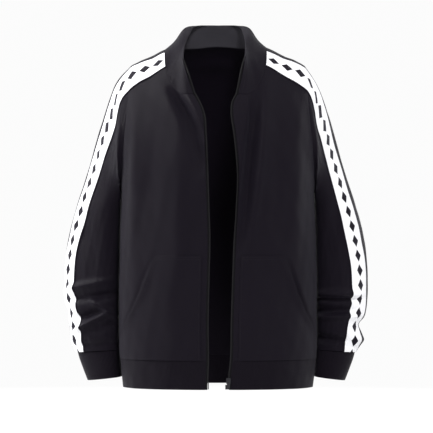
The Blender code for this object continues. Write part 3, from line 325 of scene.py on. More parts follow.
# The pocket's slanting mouth: share of a front's width at a height share.
MOUTH_END_T = 0.045     # where the mouth ends, beside the side seam
POCKET_T = 0.346        # where it starts, on the pocket's upper edge
MOUTH = table(
    "t share",
    (0.000, 0.93),
    (MOUTH_END_T, 0.93),
    (0.100, 0.76),
    (0.160, 0.60),
    (0.220, 0.50),
    (0.310, 0.40),
    (POCKET_T, 0.35),
    (0.740, 0.42),
    (1.000, 0.42),
)
TAPE_U = 0.03           # inner edge of the zip tape, as a share of a front's width
TAPE_HEM_U = 0.0073     # the same on the hem band

TAPE_OUT = 0.0040       # how far the zip tape stands out of the cloth's edge
TAPE_GAP = 0.0005       # between the cloth's inner face and the tape

# ---------------------------------------------------------------- sizes of the finer pieces

SIDES = ((-1, "right"), (1, "left"))

# Slow waves of the cloth: how fast each turns across and up, where it starts, and its height.
WAVES = table(
    "across up start height",
    (9.0, 60.0, 0.4, 0.00028),
    (-14.0, 34.0, 1.9, 0.00026),
    (23.0, 95.0, 3.1, 0.00016),
    (31.0, -48.0, 0.9, 0.00014),
)

# The cut of each piece, all round on a tube: its width, its length and the area that shows.
Cut = namedtuple("Cut", "width length area")

# The grids: how many even steps a piece has in a direction, and about how long it is that way. A
# plain number is such a count alone.
Steps = namedtuple("Steps", "count length")
FRONT_ACROSS, FRONT_UP = Steps(110, 0.20), Steps(180, 0.66)
BACK_ACROSS, BACK_UP = Steps(200, 0.50), Steps(170, 0.66)
HEM_AROUND, HEM_UP = Steps(380, 1.05), Steps(18, HEM_SEAM_Z - HEM_Z)
SLEEVE_DOWN, CUFF_DOWN, CUFF_AROUND = Steps(190, 0.62), Steps(22, 0.055), 110
COLLAR_UP, NECK_FRONT, NECK_BACK = Steps(26, 0.06), Steps(60, 0.12), 90
BAND_SHOULDER = Steps(60, 0.12)
POCKET_ACROSS, POCKET_UP = Steps(56, 0.15), Steps(64, 0.21)
TAPE_HEM, TAPE_FRONT, TAPE_COLLAR = 19, 199, 23
TAPE_COLUMNS = np.array([0, 0.5, 1, 1.4, 1.8, 2.0])  # 1 is at the cloth's edge, 2 at the tape's

HEM_ROLL = 0.0010       # radius of a folded edge
SEAM_ROLL = 0.0016      # how far from a seam the cloth starts to sink into it
TRIM_ROLL = 0.0006      # radius of the edge of a band or a pocket
ROLL_SHARE = 0.26       # how much of its thickness each face gives up at an edge
RIM_STEPS = np.array([0.0, 0.12, 0.35, 0.65, 1.0, 1.5])  # rows beside an edge, in its radii
TRIM_LIFT = SEAM_GAP + TRIM  # from a panel to the outer face of a band or a pocket

SLACK = 1e-9            # for comparing places
LEAST_LENGTH = 1e-12    # what a direction's length is taken to be where it is 0
SLOPE_STEP = 0.01       # step in turn and level over which the torso's slope is read
SHOULDER_EASE = 0.04    # levels below the shoulder line over which the normals turn upright
RINGS_TO_EVEN = 2       # rings below the armhole by which a sleeve's columns are even
SLEEVE_WAVES = 6        # how far the slow waves' argument runs round a sleeve
FOLDS_START = 0.8       # rings over which a sleeve's folds rise below the armhole
FOLDS_END = 0.6         # rings over which they fade above the cuff
EVENING = 80            # rounds in which a sleeve's depth is evened below the armhole
EVEN_FROM, EVEN_TO = 0.4, 5.0  # rings below the armhole by which it is in full, and where it ends
EVEN_FADE = 1.5         # rings over which it ends
BAND_SMOOTHING = 12     # rounds in which the band is smoothed where it crosses the armhole
BAND_BEND = 9           # rows on either side of the armhole that this takes in
COLLAR_FRONT = 0.02     # the collar stands out from a point this far in front of the origin
CORNER_SHARES = (0.7, 0.1)  # how far the tape's rows beside the neck's corner lean to the next point
GRAIN_LEVEL, GRAIN_TURN = 0.7, 0.45  # the section and the column that the knit is measured along
GRAIN_STEPS = 400       # steps up that column

MOUTH_GAPE = {-1: 0.0018, 1: 0.0038}  # how far the pocket's mouth stands open
MOUTH_SPREAD = 0.012    # how far from its edge it bends out
MOUTH_DENT = {-1: 0.0016, 1: 0.0046}  # how deep the front sinks beside the mouth
DENT_AWAY, DENT_SPREAD = 0.006, 0.006  # how far from the mouth the dent lies, and its width
MOUTH_FULLNESS = 0.7    # exponent of both along the mouth: below 1, their ends are blunt

TWIN_INSETS = (0.0036, 0.0066)  # from the band's edge to its two rows of stitches
Lozenge = namedtuple("Lozenge", "half_width half_length pitch softness")
LOZENGE = Lozenge(0.0090, 0.0130, 0.0300, 0.0005)
BAND_MIDDLE = 0.0262    # from the band's edge to the middle of the lozenges
PIPING = 0.0024         # width of the band's piped edges
EDGE_STITCH, POCKET_STITCH, ZIP_STITCH = 0.0035, 0.0080, 0.0070  # from an edge to its stitches
STITCH_RINGS = ((-0.5, 0.4), (0.0, 1.0), (0.5, 0.4))  # place along a stitch, share of its radius
TEETH_FROM = {"right": 0.0170, "left": 0.0245}  # first tooth, above the pin or the box
TEETH_STOP = 0.002      # from the last tooth to the tape's end
# A tooth's sections: how far out of the tape, half width in pitches, and half thickness.
TOOTH_SECTIONS = ((-0.0011, 0.34, 0.0010), (-0.0002, 0.34, 0.0012), (0.0006, 0.24, 0.0011),
                  (0.0012, 0.34, 0.0011), (0.0017, 0.22, 0.0008))

# The knits: the setting with the colour of each, its roughness and its sheen.
Knit = namedtuple("Knit", "colour roughness sheen")
KNITS = {
    "shell_knit": Knit("knit_colour", 0.52, 0.03),
    # The collar's inner face is the same knit made about nine times lighter: painted light that stands
    # in for the light falling into the collar.
    "collar_lining": Knit("lining_colour", 0.52, 0.03),
    "rib_knit": Knit("rib_colour", 0.58, 0.03),
    "band_knit": Knit("band_colour", 0.60, 0.10),
}
KNIT_DEPTH, RIB_DEPTH = 0.00018, 0.00045  # relief of the stitches, and of the rib's ridges
RIPPLE, LEG_SLANT = 0.45, 0.8  # share of a stitch's relief that ripples up its legs; their slant
CLOUDS, FIBRES = 26.0, 900.0  # features to a metre in the knit's shade and gloss
SHEEN_TINT = (0.80, 0.80, 0.95)  # of the fibres that stand up from the knit
CLOTH_SHINE = 0.06      # specular level of knit and tape
HERRINGBONE, TWILL = 0.0040, 0.0007  # width of one zigzag of the tape's weave, and of one ridge
WHITE_THREAD = (0.74, 0.74, 0.76)
BLACK_THREAD = (0.0080, 0.0065, 0.0092)
BLACK_TEETH = (0.0045, 0.0042, 0.0052)

VIEW_MIDDLE_X = -0.003  # what the camera looks at, beside the centre
VIEW_DEPTH = 60.0       # how far the camera sees
FLOOR_RADIUS, FLOOR_CLEAR = 2.4, 0.5  # the floor's edge, and where it starts to fade
FLOOR_SIDES, FLOOR_GREY = 64, 0.86  # corners on its edge, and its shade
# The lights: which way each lies from the jacket's middle, and how large it is.
LIGHTS = table(
    "name place size",
    ("key", (-4.4, -0.3, 2.1), 1.0),
    ("fill", (0.6, -2.7, 2.5), 0.9),
    ("side", (-4.0, 0.9, 2.4), 1.0),
    ("rim", (1.9, 1.6, 0.7), 1.2),
)


# ---------------------------------------------------------------- curves through tables

def column(rows, name):
    """One field of every row of a table."""
    return np.array([getattr(row, name) for row in rows], float)


def smooth_step(t, start, start_slope, end, end_slope):
    """The cubic that runs from start to end with these slopes, as t goes from 0 to 1."""
    near = (1 + 2 * t) * (1 - t) ** 2 * start + t * (1 - t) ** 2 * start_slope
    return near + t * t * (3 - 2 * t) * end - t * t * (1 - t) * end_slope


def curve(x, xs, ys):
    """A smooth curve through points, read at x and held level past its ends."""
    slope = np.gradient(ys, xs)
    x = np.clip(x, xs[0], xs[-1])
    i = np.clip(np.searchsorted(xs, x, side="right") - 1, 0, len(xs) - 2)
    span = xs[i + 1] - xs[i]
    return smooth_step((x - xs[i]) / span, ys[i], span * slope[i], ys[i + 1], span * slope[i + 1])


def read(rows, key, name, x):
    """A table's field at x, on a smooth curve through its rows."""
    return curve(np.asarray(x, float), column(rows, key), column(rows, name))


def read_straight(rows, key, name, x):
    """A table's field at x, on straight lines between its rows."""
    return np.interp(x, column(rows, key), column(rows, name))


def between(shares, start, end):
    """Places at shares of the way from start to end."""
    return start + (end - start) * shares


def unit(vectors):
    """The same directions with length 1."""
    return vectors / np.maximum(np.linalg.norm(vectors, axis=-1, keepdims=True), LEAST_LENGTH)


def lengths_along(line):
    """How far each point of a line is from its start, measured along it."""
    steps = np.linalg.norm(np.diff(line, axis=0), axis=1)
    return np.concatenate([[0], np.cumsum(steps)])


def at_lengths(values, along, where):
    """Points or normals that are known at the lengths along a line, read where others lie."""
    return np.stack([np.interp(where, along, values[:, k]) for k in range(3)], axis=-1)


def signed_power(value, exponent):
    """The power of a number's size, with the number's sign."""
    return np.sign(value) * np.abs(value) ** exponent


def spread(*stops):
    """Values from stop to stop, each given with its count of steps, such as (0, 4), (1, 6), (2,)."""
    values = [stops[0][0]]
    for (start, count), (end, *_) in zip(stops, stops[1:]):
        values += list(start + (end - start) * np.arange(1, count + 1) / count)
    return np.array(values)


# ---------------------------------------------------------------- the torso's surface

def ridge(x):
    """Height of the shoulder line at a distance from the centre."""
    return read(RIDGE, "x", "z", np.abs(x))


def level_of(z, x, arch):
    """Level of a height: 0 at the hem, 1 at the underarm, 2 on the shoulder line."""
    low = (z - HEM_Z) / (UNDERARM_Z - HEM_Z)
    rise = np.clip((z - UNDERARM_Z) / (ridge(x) - UNDERARM_Z), 0, 1)
    return np.where(z <= UNDERARM_Z, low, 1 + np.arcsin(rise ** (arch / 2)) / (math.pi / 2))


def half_width(level):
    """How far the torso reaches to the side at a level."""
    z = between(np.clip(level, 0, 1), HEM_Z, UNDERARM_Z)
    low = read(TORSO, "z", "half_width", z)
    return np.where(level <= 1, low, read(YOKE, "rise", "half_width", np.clip(level - 1, 0, 1)))


def turn_of(x, level):
    """Angle round the body, from the centre front, of a point x out on the front."""
    share = np.clip(np.abs(x) / half_width(level), 0, 1)
    return np.sign(x) * np.arcsin(share ** (ROUNDNESS / 2))


def torso_form(turn, level):
    """The torso without its folds: sections of a squared ellipse up to the underarm, then arches
    that lean in to the shoulder line."""
    z = between(np.clip(level, 0, 1), HEM_Z, UNDERARM_Z)
    in_front = np.cos(turn) > 0
    depth = np.where(in_front, read(TORSO, "z", "front", z), read(TORSO, "z", "back", z))
    arch = np.where(in_front, FRONT_ARCH, BACK_ARCH)
    lean = np.clip(level - 1, 0, 1) * math.pi / 2
    across = signed_power(np.sin(turn), 2 / ROUNDNESS)
    forward = signed_power(np.cos(turn), 2 / ROUNDNESS)
    x = half_width(level) * across
    y = -depth * forward * np.abs(np.cos(lean)) ** (2 / arch)
    rise = np.abs(np.sin(lean)) ** (2 / arch)
    z = np.where(level <= 1, z, between(rise, UNDERARM_Z, ridge(x)))
    return np.stack([x, y, z], axis=-1)


def bell(fold, across, up, run, rise, bow=0.0):
    """A fold's height at a point across and up from its start: a bell across its line, which goes
    run across and rise up, fades out at both ends and bows aside in the middle."""
    length = math.hypot(run, rise)
    along = (across * run + up * rise) / length ** 2
    middle = 4 * along * (1 - along)
    aside = (across * rise - up * run) / length - bow * middle
    return fold.depth * np.clip(middle, 0, 1) * np.exp(-(aside / fold.width) ** 2)


def fold_height(folds, x, z):
    """Sum of the torso's folds, as seen from the front."""
    return sum(
        bell(fold, x - fold.x0, z - fold.z0, fold.x1 - fold.x0, fold.z1 - fold.z0, fold.bow)
        for fold in folds
    )


def unevenness(across, up):
    """Slow waves of the cloth between its folds: the sum of a few sines in both directions."""
    total = 0.0 * up
    for wave in WAVES:
        total = total + wave.height * np.sin(across * wave.across + up * wave.up + wave.start)
    return total


def torso_out(turn, level):
    """Unit normals of the torso without its folds, level with the seam along the shoulder line."""
    turn, level = np.broadcast_arrays(np.asarray(turn, float), np.asarray(level, float))
    middle, step = np.minimum(level, 2 - SHOULDER_EASE), SLOPE_STEP
    across = torso_form(turn + step, middle) - torso_form(turn - step, middle)
    up = torso_form(turn, middle + step) - torso_form(turn, middle - step)
    normal = np.cross(across, up)
    normal[..., 1] *= np.clip((2 - level) / SHOULDER_EASE, 0, 1)
    return unit(normal)


def torso(turn, level):
    """The torso's outer face, folds and all."""
    turn, level = np.broadcast_arrays(np.asarray(turn, float), np.asarray(level, float))
    form = torso_form(turn, level)
    x, z = form[..., 0], form[..., 2]
    front, back = fold_height(FRONT_FOLDS, x, z), fold_height(BACK_FOLDS, x, z)
    height = np.where(np.cos(turn) > 0, front, back) + unevenness(x + turn, z)
    return form + torso_out(turn, level) * height[..., None]


def zip_x(side, z):
    """Where the cloth ends beside the zip: side is -1 on the wearer's right, 1 on the left."""
    return read(ZIP_EDGE, "z", "left_x" if side > 0 else "right_x", z)


def armhole_turn(level):
    """Angle round the front of the side seam and, above the underarm, of the armhole."""
    x = read(YOKE, "rise", "armhole_x", np.clip(level - 1, 0, 1))
    return np.where(level <= 1, math.pi / 2, turn_of(x, level))


def front_neck(side, share):
    """(turn, level) of the front neck seam, from the zip, share 0, to the shoulder, share 1."""
    corner, tip = abs(zip_x(side, FRONT_NECK[0].z)), NECK_SIDE_X[side]
    x = between(read(FRONT_NECK, "share", "outwards", share), corner, tip)
    z = read(FRONT_NECK, "share", "z", share) + (ridge(tip) - FRONT_NECK[-1].z) * share
    level = np.where(share >= 1, 2.0, level_of(z, x, FRONT_ARCH))
    return side * turn_of(x, level), level


def back_neck(x):
    """Level of the back neck seam at a distance x from the centre, below 0 on the wearer's right:
    its drop shrinks with the cube of the way out to the shoulder."""
    tip = np.where(x < 0, NECK_SIDE_X[-1], NECK_SIDE_X[1])
    return 2 - BACK_NECK_DROP * (1 - np.clip(np.abs(x) / tip, 0, 1) ** 3)


def hem_level():
    """Level of the seam between the panels and the hem band."""
    return level_of(HEM_SEAM_Z, 0.0, FRONT_ARCH)


def outer_level(t):
    """Level of a panel's outer edge, the side seam and then the armhole, at a height share t."""
    return read_straight(PANEL_ROWS, "t", "outer_level", t)


def front_panel(side, s, t):
    """(turn, level) on a front: s runs from the zip and neck, 0, to the side seam and armhole, 1, and
    t from the hem seam to the shoulder."""
    s, t = np.broadcast_arrays(np.asarray(s, float), np.asarray(t, float))
    zip_z = read_straight(PANEL_ROWS, "t", "zip_z", t)
    edge_x = zip_x(side, zip_z)
    edge_level = level_of(zip_z, edge_x, FRONT_ARCH)
    neck_turn, neck_level = front_neck(side, read_straight(PANEL_ROWS, "t", "neck_share", t))
    on_neck = t > NECK_T
    turn_in = np.where(on_neck, neck_turn, turn_of(edge_x, edge_level))
    level_in = np.where(on_neck, neck_level, edge_level)
    level_out = outer_level(t)
    turn_out = side * armhole_turn(level_out)
    return between(s, turn_in, turn_out), between(s, level_in, level_out)


def back_panel(s, t):
    """(turn, level) on the back: s runs from the wearer's right, -1, to the left, 1."""
    s, t = np.broadcast_arrays(np.asarray(s, float), np.asarray(t, float))
    tip = armhole_turn(np.asarray(2.0))
    top_x = half_width(np.asarray(2.0)) * signed_power(np.sin(s * tip), 2 / ROUNDNESS)
    beyond = (s <= neck_column(-1) + SLACK) | (s >= neck_column(1) - SLACK)
    top = np.where(beyond, 2.0, back_neck(top_x))
    edge, low = outer_level(t), hem_level()
    return math.pi - s * armhole_turn(edge), between((edge - low) / (2 - low), low, top)


def neck_column(side):
    """Where the neck seam ends on the back, as a column s."""
    return side * float(turn_of(NECK_SIDE_X[side], 2.0) / armhole_turn(np.asarray(2.0)))


def hem_band(u, z):
    """(turn, level) on the hem band: u runs from the wearer's right zip, round the back."""
    u, z = np.broadcast_arrays(np.asarray(u, float), np.asarray(z, float))
    level = level_of(z, 0.0, FRONT_ARCH)
    start, end = turn_of(zip_x(-1, z), level), turn_of(zip_x(1, z), level)
    return between(u, start, end - 2 * math.pi), level


# ---------------------------------------------------------------- the sleeve's surface

def by_length(line, share):
    """Points of a line at shares of its length."""
    along = lengths_along(line)
    return at_lengths(line, along, share * along[-1])


def armhole_loop(side):
    """The armhole from the shoulder down the front to the underarm and up behind, densely."""
    level = np.linspace(2, 1, LOOP // 2 + 1)
    front = torso(side * armhole_turn(level), level)
    back = torso(side * (math.pi - armhole_turn(level)), level)
    return np.concatenate([front, back[::-1][1:]])


def armhole_share(side, u):
    """Share of the armhole's length at a sleeve column, where it meets the panels' rows."""
    level = outer_level(rows_at(u))
    place = np.where(u <= UNDERARM_U, 2 - level, level)
    along = lengths_along(armhole_loop(side))
    return np.interp(place, np.linspace(0, 2, LOOP + 1), along / along[-1])


def ring(row, side):
    """One ring of a sleeve, densely: a squared ellipse from its crown round its front."""
    turn = np.linspace(0, 2 * math.pi, LOOP + 1)
    crown = np.array([row.crown_x - side * LEAN, row.centre_y, row.crown_z])
    inner = np.array([row.inner_x, row.centre_y, row.inner_z])
    loop = (crown + inner) / 2 + np.cos(turn)[:, None] * (crown - inner) / 2
    share = min(row.crown_z / TWIST_Z, 1.0)
    depth = signed_power(np.sin(turn), 1 + (SLEEVE_POWER - 1) * share)
    loop[:, 1] -= (depth - TWIST[side] * share * np.cos(turn) / 2) * row.half_depth
    loop[:, 0] *= side
    return loop


def tube(loops, place):
    """Dense rings at places along a table of loops, each evened out by length."""
    even = np.linspace(0, 1, LOOP + 1)
    rings = np.array([by_length(loop, even) for loop in loops])
    place = np.asarray(place, float)
    slope = np.gradient(rings, axis=0)
    i = np.clip(place.astype(int), 0, len(rings) - 2)
    return smooth_step((place - i)[:, None, None], rings[i], slope[i], rings[i + 1], slope[i + 1])


def pick(rings, share):
    """Points of dense rings at shares of their length: one row of shares for each ring."""
    at = share * LOOP
    i = np.clip(at.astype(int), 0, LOOP - 1)
    row = np.arange(len(rings))[:, None]
    return between((at - i)[..., None], rings[row, i], rings[row, i + 1])


def body_side(y, z):
    """How far out the torso reaches at a depth and a height, below the underarm."""
    height = np.clip(z, HEM_Z, UNDERARM_Z)
    depth = np.where(y < 0, read(TORSO, "z", "front", height), read(TORSO, "z", "back", height))
    share = np.clip(np.abs(y) / depth, 0, 1)
    width = read(TORSO, "z", "half_width", height)
    return width * (1 - share ** ROUNDNESS) ** (1 / ROUNDNESS)


def clear_of_body(points, side):
    """Moves what would touch the torso outwards, until it is just clear of it."""
    limit = body_side(points[..., 1], points[..., 2]) + BODY_CLEARANCE
    x = side * points[..., 0]
    pushed = limit + TOUCH_SOFTNESS * np.logaddexp(0, (x - limit) / TOUCH_SOFTNESS)
    held = np.clip((UNDERARM_Z - points[..., 2]) / UNDERARM_EASE, 0, 1)
    result = points.copy()
    result[..., 0] = side * between(held, x, pushed)
    return result


def sleeve_share(side, u, place, girth):
    """Share of the ring at each column: the panels' rows at the armhole, and from the upper arm on
    even steps with the band's edges at their own distance from the crown."""
    place = np.asarray(place, float)[:, None]
    end = "left" if side > 0 else "right"
    low, high = (read(BAND, "place", end + edge, place) / girth for edge in ("_out", "_in"))
    knots = np.hstack([0 * place, low, high, 0 * place + 0.5, 0 * place + 1])
    even = np.array([np.interp(u, RING_U, row) for row in knots])
    weight = smooth_step(np.clip(place / RINGS_TO_EVEN, 0, 1), 0, 0, 1, 0)
    return between(weight, armhole_share(side, u), even)


def sleeve_folds(side, degrees, z):
    """Sum of a sleeve's folds, on the unrolled sleeve and its next laps."""
    total = np.zeros_like(z)
    for fold in LEFT_SLEEVE_FOLDS if side > 0 else RIGHT_SLEEVE_FOLDS:
        run = math.radians(fold.turn1 - fold.turn0) * ARM_RADIUS
        for lap in (-360, 0, 360):
            across = np.radians(degrees + lap - fold.turn0) * ARM_RADIUS
            total += bell(fold, across, z - fold.z0, run, fold.z1 - fold.z0)
    return total


def sleeve(side, u, place):
    """A sleeve's outer face and its normals: u runs round from the crown past the front, place from
    the armhole, 0, to the cuff seam."""
    loops = [armhole_loop(side)] + [ring(row, side) for row in SLEEVE[1:]]
    rings = tube(loops, place)
    girth = np.linalg.norm(np.diff(rings, axis=1), axis=-1).sum(axis=1)[:, None]
    share = sleeve_share(side, u, place, girth)
    points = pick(rings, share)
    out = outward(points, points.mean(axis=1, keepdims=True), closed=True)
    place = np.asarray(place, float)[:, None]
    before_cuff = len(SLEEVE) - 1 - place
    fade = np.clip(place / FOLDS_START, 0, 1) * np.clip(before_cuff / FOLDS_END, 0, 1)
    height = sleeve_folds(side, 360 * share, points[..., 2]) * fade
    height += unevenness(SLEEVE_WAVES * share + side, points[..., 2]) * fade
    points = clear_of_body(points + out * height[..., None], side)
    if place[0] == 0:
        level = outer_level(rows_at(u))
        turn = np.where(u <= UNDERARM_U, armhole_turn(level), math.pi - armhole_turn(level))
        out[0] = torso_out(side * turn, level)
    return points, out


def cuff(side, u, place):
    """A cuff's outer face and its normals: u runs round as on the sleeve, place down to its edge."""
    rings = tube([ring(row, side) for row in CUFF_BAND], place)
    points = clear_of_body(pick(rings, np.asarray(u) + 0 * np.asarray(place)[:, None]), side)
    return points, outward(points, points.mean(axis=1, keepdims=True), closed=True)


# ---------------------------------------------------------------- the collar

def neck_seam(front_t, back_s):
    """(turn, level) along the neck seam from the wearer's right zip to the left, at the rows of the
    fronts and the columns of the back."""
    share = read_straight(PANEL_ROWS, "t", "neck_share", front_t)
    right, left = front_neck(-1, share), front_neck(1, share[::-1])
    back = back_panel(back_s, 1.0)
    back = (back[0] - 2 * math.pi * (back[0] > math.pi), back[1])
    return [np.concatenate([right[k], back[k][1:-1], left[k]]) for k in (0, 1)]


def collar(front_t, back_s, height):
    """The stand collar's outer face and normals: straight from the neck seam, height 0, to its
    edge, 1, but for a swell in the middle and a roll outwards near the edge."""
    turn, level = neck_seam(front_t, back_s)
    foot = torso(turn, level)
    along = lengths_along(foot)
    right = foot[:, 0] < 0
    crossing = np.flatnonzero(~right)[0]
    middle = np.interp(0, foot[crossing - 1:crossing + 1, 0], along[crossing - 1:crossing + 1])
    way = np.where(right, (middle - along) / middle, (along - middle) / (along[-1] - middle))
    x = np.where(right, *(read(COLLAR_TOP, "share", n, way) for n in ("right_x", "left_x")))
    z = np.where(right, *(read(COLLAR_TOP, "share", n, way) for n in ("right_z", "left_z")))
    top = np.stack([x, read(COLLAR_TOP, "share", "y", way), z], axis=-1)
    out = unit(foot * [1, 1, 0] + [0, COLLAR_FRONT, 0])
    over = (out + [0, 0, 1]) * read(COLLAR_TOP, "share", "roll", way)[:, None]
    w = np.asarray(height, float)[:, None, None]
    swell, roll = 4 * w * (1 - w), (w / ROLL_HEIGHT) ** 4 * (1 - w) / (1 - ROLL_HEIGHT)
    points = foot * (1 - w) + top * w + out * COLLAR_SWELL * swell + over * roll
    normal = outward(points, points * [0, 0, 1])
    if height[0] == 0:
        normal[0] = torso_out(turn, level)
    return points, normal


# ---------------------------------------------------------------- normals, rows and the tape's path

def outward(points, inside, closed=False):
    """Unit normals of a grid of points, pointing away from the points named as inside."""
    if closed:
        lap = np.concatenate([points[:, -1:], points, points[:, :1]], axis=1)
        across = (lap[:, 2:] - lap[:, :-2]) / 2
    else:
        across = np.gradient(points, axis=1)
    normal = unit(np.cross(across, np.gradient(points, axis=0)))
    return normal * np.sign((normal * (points - inside)).sum())


def rows_at(u):
    """The panels' rows that a sleeve's columns meet at the armhole."""
    return read_straight(SLEEVE_COLUMNS, "u", "t", u)


def mirrored(values, side):
    """Columns in the order of the wearer's left, or turned round for the right."""
    return values if side > 0 else values[::-1]


def on_torso(turn, level):
    """The torso's outer face and its normals."""
    return torso(turn, level), torso_out(turn, level)


def tape_path(side):
    """Outer cloth face and normals beside the zip, from the hem to the collar's edge: a column
    under the cloth, then one at the cloth's edge."""
    hem_u = np.array([TAPE_HEM_U, 0.0])
    heights = np.linspace(HEM_Z, HEM_SEAM_Z, TAPE_HEM + 1)
    hem = on_torso(*hem_band(hem_u if side < 0 else 1 - hem_u, heights[:, None]))
    rows = np.linspace(0, NECK_T, TAPE_FRONT + 1)[1:]
    front = on_torso(*front_panel(side, np.array([TAPE_U, 0.0]), rows[:, None]))
    stand = collar(*collar_seam(), np.linspace(0, 1, TAPE_COLLAR + 1))
    last_two = [1, 0] if side < 0 else [-2, -1]
    stand = [grid[:, last_two] for grid in stand]
    # At the neck's corner one row keeps to the front and the next to the collar.
    front[0][-1, 0] = between(CORNER_SHARES[0], *front[0][-1])
    for grid in stand:
        grid[0] = between(CORNER_SHARES[1], *grid[:2])
    return [np.concatenate([hem[k], front[k], stand[k]]) for k in (0, 1)]


# ---------------------------------------------------------------- where the grain of the knit runs

@lru_cache
def grain_tables():
    """Lengths in metres along a section of the torso, by turn, and up its front, by level."""
    turn = np.linspace(-2 * math.pi, 2 * math.pi, 4 * LOOP + 1)
    level = np.linspace(0, 2, GRAIN_STEPS + 1)
    section = torso_form(turn, np.full_like(turn, GRAIN_LEVEL))
    upright = torso_form(np.full_like(level, GRAIN_TURN), level)
    return turn, lengths_along(section), level, lengths_along(upright)


def torso_grain(turn, level):
    """The cloth's own coordinates on the torso, in metres: round the body and up it."""
    turns, around, levels, up = grain_tables()
    turn, level = np.broadcast_arrays(turn, level)
    return np.stack([np.interp(turn, turns, around), np.interp(level, levels, up)], axis=-1)


def grid_grain(points, closed=False):
    """The same for a piece of its own, from the mean lengths of its rows and columns."""
    lap = np.concatenate([points, points[:, :1]], axis=1) if closed else points
    across = np.linalg.norm(np.diff(lap, axis=1), axis=-1).mean(axis=0)
    up = np.linalg.norm(np.diff(points, axis=0), axis=-1).mean(axis=1)
    u, v = (np.concatenate([[0], np.cumsum(steps)]) for steps in (across, up))
    return np.stack(np.broadcast_arrays(u[None, :], v[:, None]), axis=-1)


# ---------------------------------------------------------------- fine grids on the surfaces

def eased(steps, first=0.0, last=0.0):
    """Shares from 0 to 1 in even steps, with closer ones over the rim radius at either end."""
    even = np.linspace(0, 1, steps.count + 1)
    head = RIM_STEPS * first / steps.length if first else np.zeros(1)
    tail = 1 - RIM_STEPS[::-1] * last / steps.length if last else np.ones(1)
    margin = 0.5 / steps.count
    middle = even[(even > head[-1] + margin) & (even < tail[0] - margin)]
    return np.concatenate([head, middle, tail])


class Cloth:
    """A surface of the garment: a grid of points, their normals and the cloth's own coordinates."""

    def __init__(self, points, normal, grain=None, closed=False):
        self.points, self.normal, self.closed = points, normal, closed
        self.grain = grid_grain(points, closed) if grain is None else grain

    def distances(self):
        """Distance of every point from each edge of the grid, measured along the cloth."""
        up = np.linalg.norm(np.diff(self.points, axis=0), axis=-1).cumsum(axis=0)
        up = np.concatenate([0 * up[:1], up])
        across = np.linalg.norm(np.diff(self.points, axis=1), axis=-1).cumsum(axis=1)
        across = np.concatenate([0 * across[:, :1], across], axis=1)
        return {"bottom": up, "top": up[-1:] - up, "start": across, "end": across[:, -1:] - across}

    def lifted(self, height):
        """The surface moved out by a height, one number or one for each point."""
        height = np.broadcast_to(height, self.points.shape[:2])[..., None]
        return Cloth(self.points + self.normal * height, self.normal, self.grain, self.closed)

    def line(self, edge, inset):
        """Points and normals along a line at a distance from an edge."""
        away = self.distances()[edge]
        points, normal = self.points, self.normal
        if edge in ("bottom", "top"):
            away, points, normal = away.T, points.swapaxes(0, 1), normal.swapaxes(0, 1)
        if edge in ("top", "end"):
            away, points, normal = away[:, ::-1], points[:, ::-1], normal[:, ::-1]
        inside = np.clip((away < inset).sum(axis=1) - 1, 0, away.shape[1] - 2)
        row = np.arange(len(away))
        near, far = away[row, inside], away[row, inside + 1]
        t = np.clip((inset - near) / np.maximum(far - near, SLACK), 0, 1)[:, None]
        return [between(t, grid[row, inside], grid[row, inside + 1]) for grid in (points, normal)]


def mouth_share(t):
    """The pocket's mouth, as shares of a front's width at the rows t."""
    return read_straight(MOUTH, "t", "share", t)[:, None]


def mouth_run(t):
    """0 at the ends of the pocket's mouth and 1 in its middle: a power of half a sine wave."""
    run = np.clip((t - MOUTH_END_T) / (POCKET_T - MOUTH_END_T), 0, 1)
    return np.sin(math.pi * run)[:, None] ** MOUTH_FULLNESS


@lru_cache
def front_cloth(side):
    """A front, which sinks a little beside the pocket's mouth: a bell across the mouth's line."""
    s, t = eased(FRONT_ACROSS, SEAM_ROLL, SEAM_ROLL), eased(FRONT_UP, SEAM_ROLL, SEAM_ROLL)
    place = front_panel(side, mirrored(s[::-1], side), t[:, None])
    mouth = front_panel(side, mouth_share(t), t[:, None])
    cloth = Cloth(*on_torso(*place), torso_grain(*place))
    beyond = np.abs(cloth.grain[..., 0] - torso_grain(*mouth)[..., 0])
    beyond *= np.sign(np.abs(place[0]) - np.abs(mouth[0]))
    dent = np.exp(-((beyond - DENT_AWAY) / DENT_SPREAD) ** 2)
    return cloth.lifted(-MOUTH_DENT[side] * mouth_run(t) * dent)


@lru_cache
def back_cloth():
    """The back, in one piece from side seam to side seam."""
    s = between(eased(BACK_ACROSS, SEAM_ROLL, SEAM_ROLL), -1, 1)
    place = back_panel(s, eased(BACK_UP, SEAM_ROLL, SEAM_ROLL)[:, None])
    return Cloth(*on_torso(*place), torso_grain(*place))


@lru_cache
def hem_cloth():
    """The hem band, from zip to zip round the back."""
    z = between(eased(HEM_UP, HEM_ROLL, SEAM_ROLL), HEM_Z, HEM_SEAM_Z)
    place = hem_band(eased(HEM_AROUND, HEM_ROLL, HEM_ROLL), z[:, None])
    return Cloth(*on_torso(*place), torso_grain(*place))


# Columns of a sleeve: closer together on the band, and with one on each of its edges.
SLEEVE_AROUND = spread((0, 5), (BAND_TOP_U, 14), (BAND_LOW_U, 44), (UNDERARM_U, 72), (1,))[:-1]


@lru_cache
def sleeve_cloth(side):
    """A sleeve, whose bend out of the armhole is evened: below the seam, each point's depth moves
    towards the mean of its four neighbours' depths."""
    place = between(eased(SLEEVE_DOWN, SEAM_ROLL, SEAM_ROLL), 0, len(SLEEVE) - 1)
    points, normal = sleeve(side, mirrored(SLEEVE_AROUND, side), place)
    fade = np.clip(place / EVEN_FROM, 0, 1) * np.clip((EVEN_TO - place) / EVEN_FADE, 0, 1)
    for _ in range(EVENING):
        depth = points[..., 1]
        mean = (np.roll(depth, 1, axis=1) + np.roll(depth, -1, axis=1)) / 4
        mean[1:-1] += (depth[:-2] + depth[2:]) / 4
        points[1:-1, :, 1] += fade[1:-1, None] * (mean - depth)[1:-1]
    return Cloth(points, normal, closed=True)


